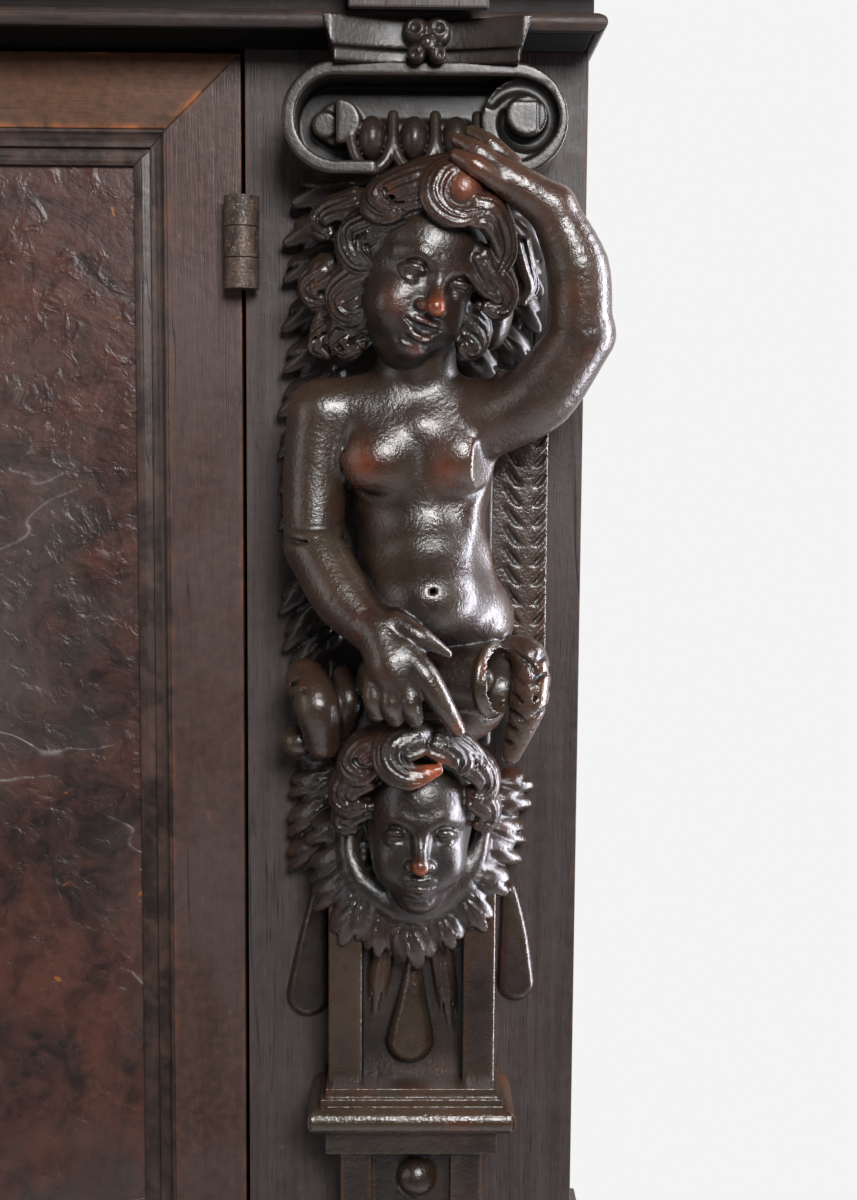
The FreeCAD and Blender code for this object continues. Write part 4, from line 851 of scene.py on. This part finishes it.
for z in (334, 326, 317, 308):
    body.gouge([(-61, 38, z - 6), (-57.5, 47, z - 2), (-52, 53, z + 4)], (0.5, 1.6, 0.5), 0.6)
body.gouge([(-40, 52, 340), (-37.5, 55, 323), (-38, 50, 302)], (0.8, 1.6, 0.8), 1)

body.rubs = [
    ((-25, 66, 437), 9, 0.5), ((14, 67, 434), 8, 0.45), ((-24, 74, 366), 6, 0.3), ((36, 76, 344), 6, 0.5),
    ((70, 84, 515), 6, 0.2), ((26, 92, 570), 5, 0.3), ((20, 88, 318), 4, 0.4),
]

# Leafy ground: scrolled leaves in low relief on both sides of the child, notched along their edges.
# Carved on the same board, between the capital and the mask.
GROUND_GRIT = 1.01
ground = Carving((-74, -1, 286), (76, 46, 590), GROUND_GRIT)


def leaf(work, path, width, pairs=2):
    """A spread leaf: round lobes fan out from its root, each hollowed with a gouge; its tip curls away."""
    root, crest, tip = (np.array(p, float) for p in path)
    length = math.hypot(tip[0] - root[0], tip[2] - root[2])
    way = (tip[0] - root[0]) / length, (tip[2] - root[2]) / length
    step = 2.1 / (pairs + 0.5)

    def field(x, out, z):
        v = ((x - root[0]) * way[0] + (z - root[2]) * way[1]) / (1.1 * length) + 0.18
        u = ((x - root[0]) * way[1] - (z - root[2]) * way[0]) / (0.64 * width)
        far = np.hypot(u, v)
        turn = np.arctan2(u, v)
        lobe = np.cos(math.pi * (turn / step - np.round(turn / step)))
        lobe = np.sqrt(np.clip(lobe, 0, 1))
        edge = (0.86 + 0.30 * lobe) * (1 - 0.10 * turn**2)
        share = np.clip(far / np.maximum(edge, 0.05), 0, 1.2)
        rise = root[1] + (crest[1] + 0.10 * width - root[1]) * np.sin(np.clip(share, 0, 1) * 1.9) / 0.95
        rise = rise + (tip[1] - crest[1]) * share**3 - 0.19 * width * lobe * share
        rise = rise - 0.07 * width * turn**2 * share
        beyond = (far - edge) * 0.6 * width
        return 0.7 * np.maximum(np.maximum(beyond, out - rise), rise - 0.4 * width - out)

    ends = np.array([root, crest, tip])
    spread = np.array([0.62, 0.5, 0.62]) * width
    return work.add((field, ends.min(0) - spread, ends.max(0) + spread), 0.4)


ground.add(block((-44, -1, 292), (40, 10, 584), 4), 1)
for path, width, pairs in (
    ([(-24, 14, 573), (-42, 22, 572), (-59, 16, 564)], 22, 3),
    ([(-38, 14, 556), (-52, 18, 553), (-64, 12, 545)], 15, 2),
    ([(-38, 14, 541), (-51, 19, 537), (-64, 12, 527)], 16, 3),
    ([(-42, 14, 518), (-55, 17, 512), (-65, 10, 503)], 15, 2),
    ([(-36, 14, 499), (-50, 19, 492), (-64, 12, 483)], 18, 3),
    ([(-46, 14, 478), (-59, 16, 471), (-67, 10, 461)], 14, 2),
    ([(-52, 8, 457), (-62, 11, 450), (-68, 6, 440)], 11, 2),
    ([(-54, 6, 440), (-63, 9, 432), (-68, 4, 422)], 10, 2),
    ([(-54, 6, 422), (-63, 8, 414), (-68, 4, 404)], 10, 2),
    ([(-50, 10, 378), (-60, 15, 372), (-67, 10, 362)], 13, 2),
    ([(-48, 12, 362), (-58, 16, 354), (-65, 10, 343)], 13, 2),
    ([(-46, 12, 346), (-55, 16, 338), (-62, 10, 328)], 13, 2),
    ([(44, 10, 560), (54, 15, 552), (62, 10, 540)], 15, 2),
    ([(44, 10, 542), (55, 15, 534), (62, 10, 522)], 15, 2),
    ([(44, 10, 524), (54, 15, 516), (61, 10, 504)], 15, 2),
    ([(40, 10, 504), (50, 15, 496), (57, 10, 485)], 14, 2),
    ([(20, 12, 500), (32, 18, 488), (40, 14, 476)], 16, 2),
):
    leaf(ground, path, 1.2 * width, pairs)
feathers = Carving((34, -1, 334), (74, 14, 480), 0.8)
feathers.add(block((38, -1, 338), (67, 7.5, 476), 0.6), 0.5)
for x, s in ((52, -1), (61.5, 1)):
    for k in range(12):
        z = 350 + 10 * k
        gouge = [(x - s * 4.4, 9, z - 5), (x + s * 0.6, 7.6, z - 2), (x + s * 5.6, 8, z + 5)]
        feathers.gouge(gouge, (0.3, 1.7, 1.6), 0.4)

# Mask and ruff: a calm child's mask with combed locks over a dished collar and a ring of scalloped leaves.
# Carved in walnut under the jar, with two long petals that hang beside the shaft below it.
MASK_GRIT = 0.98
mask = Carving((-74, -1, 132), (72, 92, 318), MASK_GRIT)
mask.add(ball((1, 4, 254), (46, 26, 47)), 1)
mask.add(ball((1, 12, 254), (38, 26, 42)), 4)
for path, width, pairs in (
    ([(-45, 14, 288), (-54, 16, 288), (-62, 8, 289)], 16, 2),
    ([(-42, 16, 278), (-52, 19, 274), (-62, 10, 268)], 20, 3),
    ([(-42, 18, 266), (-52, 21, 259), (-62, 12, 248)], 20, 3),
    ([(-42, 20, 250), (-51, 22, 242), (-62, 12, 230)], 20, 3),
    ([(-33, 30, 257), (-44, 32, 254), (-53, 24, 247)], 18, 2),
    ([(-30, 34, 246), (-40, 36, 240), (-50, 28, 228)], 21, 3),
    ([(-28, 37, 234), (-39, 40, 227), (-48, 33, 215)], 21, 3),
    ([(44, 16, 274), (52, 18, 276), (61, 10, 273)], 15, 2),
    ([(40, 20, 267), (49, 23, 269), (60, 12, 264)], 18, 2),
    ([(37, 24, 255), (47, 26, 253), (57, 14, 245)], 20, 3),
    ([(34, 30, 246), (43, 32, 244), (54, 22, 237)], 18, 2),
    ([(30, 36, 234), (38, 39, 230), (47, 32, 223)], 21, 3),
    ([(-16, 38, 214), (-16, 41, 205), (-17, 37, 192)], 18, 3),
    ([(24, 38, 224), (31, 42, 217), (36, 38, 206)], 20, 3),
    ([(-25, 38, 225), (-31, 43, 214), (-35, 39, 199)], 23, 3),
    ([(13, 39, 215), (17, 43, 207), (20, 39, 197)], 19, 3),
    ([(-2, 39, 211), (1, 44, 201), (3, 39, 187)], 25, 3),
):
    leaf(mask, path, width, pairs)
mask.roll([(-34, 30, 262), (-28, 36, 234), (0, 39, 216), (28, 36, 236), (36, 30, 262)], (4, 6, 7, 6, 4), 3)
mask_pose = Pose((2.8, 42, 262.5), (0.90, 0.92, 0.98), right=1, lean=1, down=2)
mask.add(mask_pose.ball((0, -10, 14), (34, 30, 33)), 1)
carve_face(mask, mask_pose, 0.7, 0.5, 0.6)
for path, width, strands in (
    ([(-25, 54, 274), (-34, 51, 268), (-35, 50, 262), (-28, 54, 261)], 6, 4),
    ([(30, 60, 280), (37, 56, 273), (36, 55, 265), (30, 57, 264)], 6, 4),
    ([(-23, 62, 292), (-32, 58, 286), (-35, 57, 278), (-31, 58, 273), (-23, 62, 274)], 8, 5),
    ([(25, 66, 300), (34, 62, 292), (36, 60, 283), (31, 62, 278)], 7.5, 5),
    ([(-13, 64, 308), (-25, 63, 303), (-30, 62, 295), (-25, 65, 291), (-18, 68, 293)], 8, 5),
    ([(4, 68, 309), (14, 69, 309), (23, 68, 305), (30, 66, 298), (29, 66, 292)], 7.5, 5),
    ([(4, 68, 311), (-8, 70, 310), (-15, 70, 305), (-16, 72, 300)], 7, 5),
    ([(10, 74, 308), (18, 73, 304), (23, 72, 298), (21, 72, 293)], 6, 4),
    ([(1, 74, 312), (-9, 77, 307), (-10, 79, 299), (-2, 80, 293), (12, 78, 296)], 9, 6),
):
    lock(mask, (2, 12, 268), path, width, strands)
mask.roll([(-48, 2, 216), (-51, 0, 190), (-53.5, -3, 160)], (4, 8, 12.5), 1)
mask.roll([(50.5, 2, 216), (53, 0, 194), (54.5, -2, 167)], (4, 7.5, 10.5), 1)
mask.cut(block((-80, 6, 130), (-42.2, 30, 214), 1), 1.5)
mask.cut(block((43.8, 5.5, 130), (80, 30, 214), 1), 1.5)
mask.gouge([(-52, 7, 206), (-57, 7, 180), (-60, 7, 160), (-54, 7, 150)], (0.5, 1.0, 0.6), 0.8)
mask.gouge([(53, 6.5, 206), (57, 6.5, 186), (60, 6.5, 168), (55, 6.5, 160)], (0.5, 1.0, 0.6), 0.8)
mask.rubs = [(mask_pose.point((0, 41, -15)), 4.5, 0.8), ((9, 80, 296), 6, 1.0), ((2, 78, 291), 5, 0.9)]

# Capital: a stadium-shaped band round two volutes and a deep recess, with eggs and darts below.
# Walnut, carved deep; the hollow-fronted abacus with its flower is a separate slab on top.
CAPITAL_GRIT = 0.88
capital = Carving((-68, -1, 568), (76, 62, 630), CAPITAL_GRIT)


def stadium(middle, half, radius, low, high, round_by=0.8):
    """A slab with round ends, standing out from low to high."""
    def field(x, out, z):
        past = x - middle[0] - np.clip(x - middle[0], -half, half)
        ring = np.sqrt(past**2 + (z - middle[1]) ** 2) - radius
        rise = np.abs(out - (low + high) / 2) - (high - low) / 2
        ring, rise = ring + round_by, rise + round_by
        outside = np.hypot(np.maximum(ring, 0), np.maximum(rise, 0))
        return np.minimum(np.maximum(ring, rise), 0) + outside - round_by

    reach = half + radius
    return field, (middle[0] - reach, low, middle[1] - radius), (middle[0] + reach, high, middle[1] + radius)


capital.add(stadium((3.5, 598.7), 41.4, 25.8, -1, 47), 0.5)
capital.cut(stadium((3.5, 598.7), 41.4, 19.4, 22, 60), 0.9)
capital.cut(block((-19, 20, 560), (26, 60, 586), 2), 2)
capital.cut(ball((-38, 52, 599), (18.5, 30, 18.5)), 1.5)
capital.add(stadium((-37, 598.5), 0, 10.5, 10, 40, 1.5), 2)
capital.cut(block((-52, 30, 586), (-38.5, 60, 611), 1), 1)
capital.add(stadium((-44, 598), 0, 6.5, 10, 32, 1.5), 1)
capital.cut(limb([(-47.5, 34, 592), (-47.5, 34, 606)], (0.7, 0.7)), 0.5)
capital.add(stadium((49.5, 598.5), 0, 19.5, 10, 44), 1)
SPIRAL = [
    (49.5 + (17 - 1.5 * a) * math.cos(2.6 - a), 44.5, 598.5 + (17 - 1.5 * a) * math.sin(2.6 - a))
    for a in np.linspace(0, 6.0, 30)
]
capital.cut(limb(SPIRAL, (3.4, 4.2, 3.6)), 0.8)
capital.add(stadium((51, 600), 0, 9.6, 10, 52, 0.8), 0.6)
capital.cut(block((40, 47, 606), (64, 60, 616), 1), 0.8)
capital.cut(block((56, 48, 590), (66, 60, 612), 1), 0.8)
capital.add(block((-20, -1, 575), (27, 26, 602), 4), 2)
for x in (-21.5, -1.5, 18.5):
    capital.add(ball((x, 33, 590.5), (7.2, 11, 11.5)), 0.5)
    hull = [(x - 9.8, 34, 602), (x - 9.8, 38, 590), (x - 6.5, 40, 580), (x, 41, 575.5), (x + 6.5, 40, 580),
            (x + 9.8, 38, 590), (x + 9.8, 34, 602)]
    capital.add(limb(bend(hull, 4), (2.6, 3.0, 2.6)), 0.5)
capital.gouge([(-8, 47, 617), (-2, 36, 612), (4, 30, 606), (11, 28, 601)], (0.6, 0.6), 0.3)

ABACUS_OUT = 58
abacus = Carving((-58, -1, 620), (66, 66, 646), CAPITAL_GRIT)


def hollow_slab(half, flare, front, dip, low, high):
    """A slab whose front is hollowed between two horns and whose ends lean out."""
    def field(x, out, z):
        face = out - (front - dip * np.cos(np.clip((x - 4) / half, -1, 1) * math.pi / 2))
        ends = np.abs(x - 4) - half - flare * (z - low) / (high - low)
        return np.maximum(np.maximum(ends, face * 0.9), np.abs(z - (low + high) / 2) - (high - low) / 2)

    return field, (4 - half - flare, -1, low), (4 + half + flare, front, high)


abacus.add(hollow_slab(43, 0, ABACUS_OUT - 4, 9, 623.2, 629.5), 0.5)
abacus.add(hollow_slab(44, 4.5, ABACUS_OUT, 10, 629.5, 643.2), 0.6)
for a, size in ((42, 1.15), (138, 1.15), (222, 0.8), (318, 0.8)):
    a = math.radians(a)
    petal = np.array([4 + 6.5 * math.cos(a), 52, 631.5 + 7.5 * math.sin(a)])
    abacus.add(ball(petal, (5.6 * size, 6.5, 5.4 * size)), 0.5)
    abacus.cut(ball(petal + (1.5 * math.cos(a), 7.5, 1.5 * math.sin(a)), (2.8 * size, 4, 3 * size)), 0.6)
abacus.add(ball((4, 55, 630.5), (3.8, 5, 3.8)), 0.5)

# Leaf drop and boss: a long petal with scraps of leaf in the shaft's recess, and a boss on the pedestal.
# Carved in the same walnut as the shaft, whose two strips run on up behind the ruff.
drop = Carving((-46, -1, 56), (46, 50, 236), 0.9)
for low, high in ((-42, -25.2), (25.6, 41.6)):
    drop.add(block((low, -1, 123), (high, 35, 234), 1.2), 0.5)
drop.add(block((-30, -1, 123), (30, 22, 234), 1.0), 0.5)
drop.gouge([(24, 36, 149), (30, 36.5, 151), (36, 36, 148), (43, 35, 152)], (0.5, 0.5), 0.3)
drop.roll([(1, 24, 190), (0, 24, 166), (-1, 21, 144)], (3, 7, 12), 1)
drop.cut(block((-20, 30.5, 120), (20, 50, 178), 1), 1.5)
drop.gouge([(5, 31, 180), (4, 31, 160), (7, 31, 140)], (0.4, 1.0, 0.6), 0.7)
leaf(drop, [(-13, 23, 204), (-16, 26, 184), (-19, 23, 158)], 13, 3)
leaf(drop, [(13, 23, 204), (17, 26, 182), (20, 23, 150)], 13, 3)
drop.add(ball((3, 23, 71), (10.5, 9.5, 10.5)), 1)

# Each carving is hung on all four pilasters, mirrored on the left-hand ones.
# The three that stand further off are carved a little coarser.
for name, carving, kind in (
    ("head", head, "figure"), ("body", body, "figure"), ("ground", ground, "figure"),
    ("mask", mask, "figure"), ("feathers", feathers, "figure"),
    ("capital", capital, "pilaster"), ("abacus", abacus, "pilaster"), ("drop", drop, "pilaster"),
):
    # The darker copies paint shade on the ground, capital, abacus, head and mask.
    finish = deep_walnut if carving in (ground, capital, abacus) else carved_walnut
    finish = head_walnut if carving in (head, mask) else finish
    for (case, side), piece in hang_carving(name, carving, PILASTERS, finish):
        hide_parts(f"{case}_{side}_{kind}")

# Photographer's room: a pale paper floor and backdrop. A small soft box stands high in front, a tall bluish
# one at the right, a weak one at the left and one behind the cabinet.
BACKDROP = (0.905, 0.905, 0.905)
ROOM_HALF = 4.0
WALL_Y = 1.6
WALL_HIGH = 4.5


def pale_paper(name, colour):
    """Matt paper that shows as its own colour behind the cabinet, and is clear when seen from its back."""
    finish = Finish(name)
    paths = finish.node("LightPath", "Is Camera Ray")
    seen = finish.sum("MAXIMUM", paths, paths.node.outputs["Is Glossy Ray"])
    glow = finish.node("Emission", "Emission", Color=tuple(colour) + (1,), Strength=1.0)
    finish.set(Base_Color=tuple(colour) + (1,), Roughness=0.9)
    front = finish.node("MixShader", "Shader", Fac=seen, _1=finish.shader.outputs["BSDF"], _2=glow)
    behind = finish.node("NewGeometry", "Backfacing")
    show = finish.node("MixShader", "Shader", Fac=behind, _1=front, _2=finish.node("BsdfTransparent", "BSDF"))
    finish.tree.links.new(show, finish.tree.nodes["Material Output"].inputs["Surface"])
    return finish.material


def sheet_of_paper(name, corners, finish):
    work = bmesh.new()
    work.faces.new([work.verts.new(c) for c in corners])
    mesh = bpy.data.meshes.new(name)
    work.to_mesh(mesh)
    work.free()
    mesh.materials.append(finish)
    paper = bpy.data.objects.new(name, mesh)
    bpy.context.scene.collection.objects.link(paper)
    return paper


floor_finish = Finish("floor_paper")
floor_finish.set(Base_Color=BACKDROP + (1,), Roughness=0.9)
left, right = -ROOM_HALF, ROOM_HALF
ground_corners = [(left, left, 0), (right, left, 0), (right, right, 0), (left, right, 0)]
wall_corners = [(left, WALL_Y, 0), (right, WALL_Y, 0), (right, WALL_Y, WALL_HIGH), (left, WALL_Y, WALL_HIGH)]
sheet_of_paper("floor", ground_corners, floor_finish.material)
sheet_of_paper("backdrop", wall_corners, pale_paper("backdrop_paper", BACKDROP))


def soft_box(name, at, towards, width, height, power, colour=(1, 1, 1)):
    lamp = bpy.data.lights.new(name, "AREA")
    lamp.shape = "RECTANGLE"
    lamp.size = width
    lamp.size_y = height
    lamp.energy = power
    lamp.color = colour
    box = bpy.data.objects.new(name, lamp)
    bpy.context.scene.collection.objects.link(box)
    box.location = at
    box.rotation_euler = (Vector(towards) - Vector(at)).to_track_quat("-Z", "Y").to_euler()


FIGURE_AT = (0.475, -0.19, 1.55)
soft_box("soft_box_key", (0.85, -1.75, 2.35), FIGURE_AT, 0.6, 0.6, 36)
soft_box("soft_box_right", (1.75, -0.12, 1.6), FIGURE_AT, 0.4, 1.7, 52, (0.9, 0.9, 1.0))
soft_box("soft_box_left", (-1.6, -1.3, 1.9), FIGURE_AT, 0.9, 1.6, 7)
soft_box("soft_box_back", (-0.3, 1.5, 2.5), (0, 0.28, 1.1), 0.8, 0.8, 14)
world = bpy.data.worlds.new("room")
world.use_nodes = True
sky = world.node_tree.nodes
sky["Background"].inputs["Color"].default_value = (0.9, 0.92, 0.95, 1)
sky["Background"].inputs["Strength"].default_value = 0.045
white = sky.new("ShaderNodeBackground")
white.inputs["Color"].default_value = BACKDROP + (1,)
either = sky.new("ShaderNodeMixShader")
join = world.node_tree.links.new
join(sky.new("ShaderNodeLightPath").outputs["Is Camera Ray"], either.inputs[0])
join(sky["Background"].outputs[0], either.inputs[1])
join(white.outputs[0], either.inputs[2])
join(either.outputs[0], sky["World Output"].inputs["Surface"])
bpy.context.scene.world = world

# Camera: close in front of the upper right pilaster and level with the figure's chest.
# It looks down a little and to the right, and leans very slightly.
CAMERA_AT = Vector((0.46801, -0.95002, 1.63183))
CAMERA_DOWN, CAMERA_RIGHT, CAMERA_ROLL = math.radians(5.923), math.radians(1.02), math.radians(0.4)
LENS = 48
camera_data = bpy.data.cameras.new("camera")
camera_data.sensor_width = 36
camera_data.lens = LENS
camera_data.clip_start = 0.02
camera = bpy.data.objects.new("camera", camera_data)
bpy.context.scene.collection.objects.link(camera)
turn = Matrix.Rotation(-CAMERA_RIGHT, 3, "Z") @ Matrix.Rotation(math.pi / 2 - CAMERA_DOWN, 3, "X")
turn = turn @ Matrix.Rotation(CAMERA_ROLL, 3, "Z")
camera.matrix_world = Matrix.Translation(CAMERA_AT) @ turn.to_4x4()
bpy.context.scene.camera = camera
bpy.context.scene.view_settings.view_transform = "Standard"
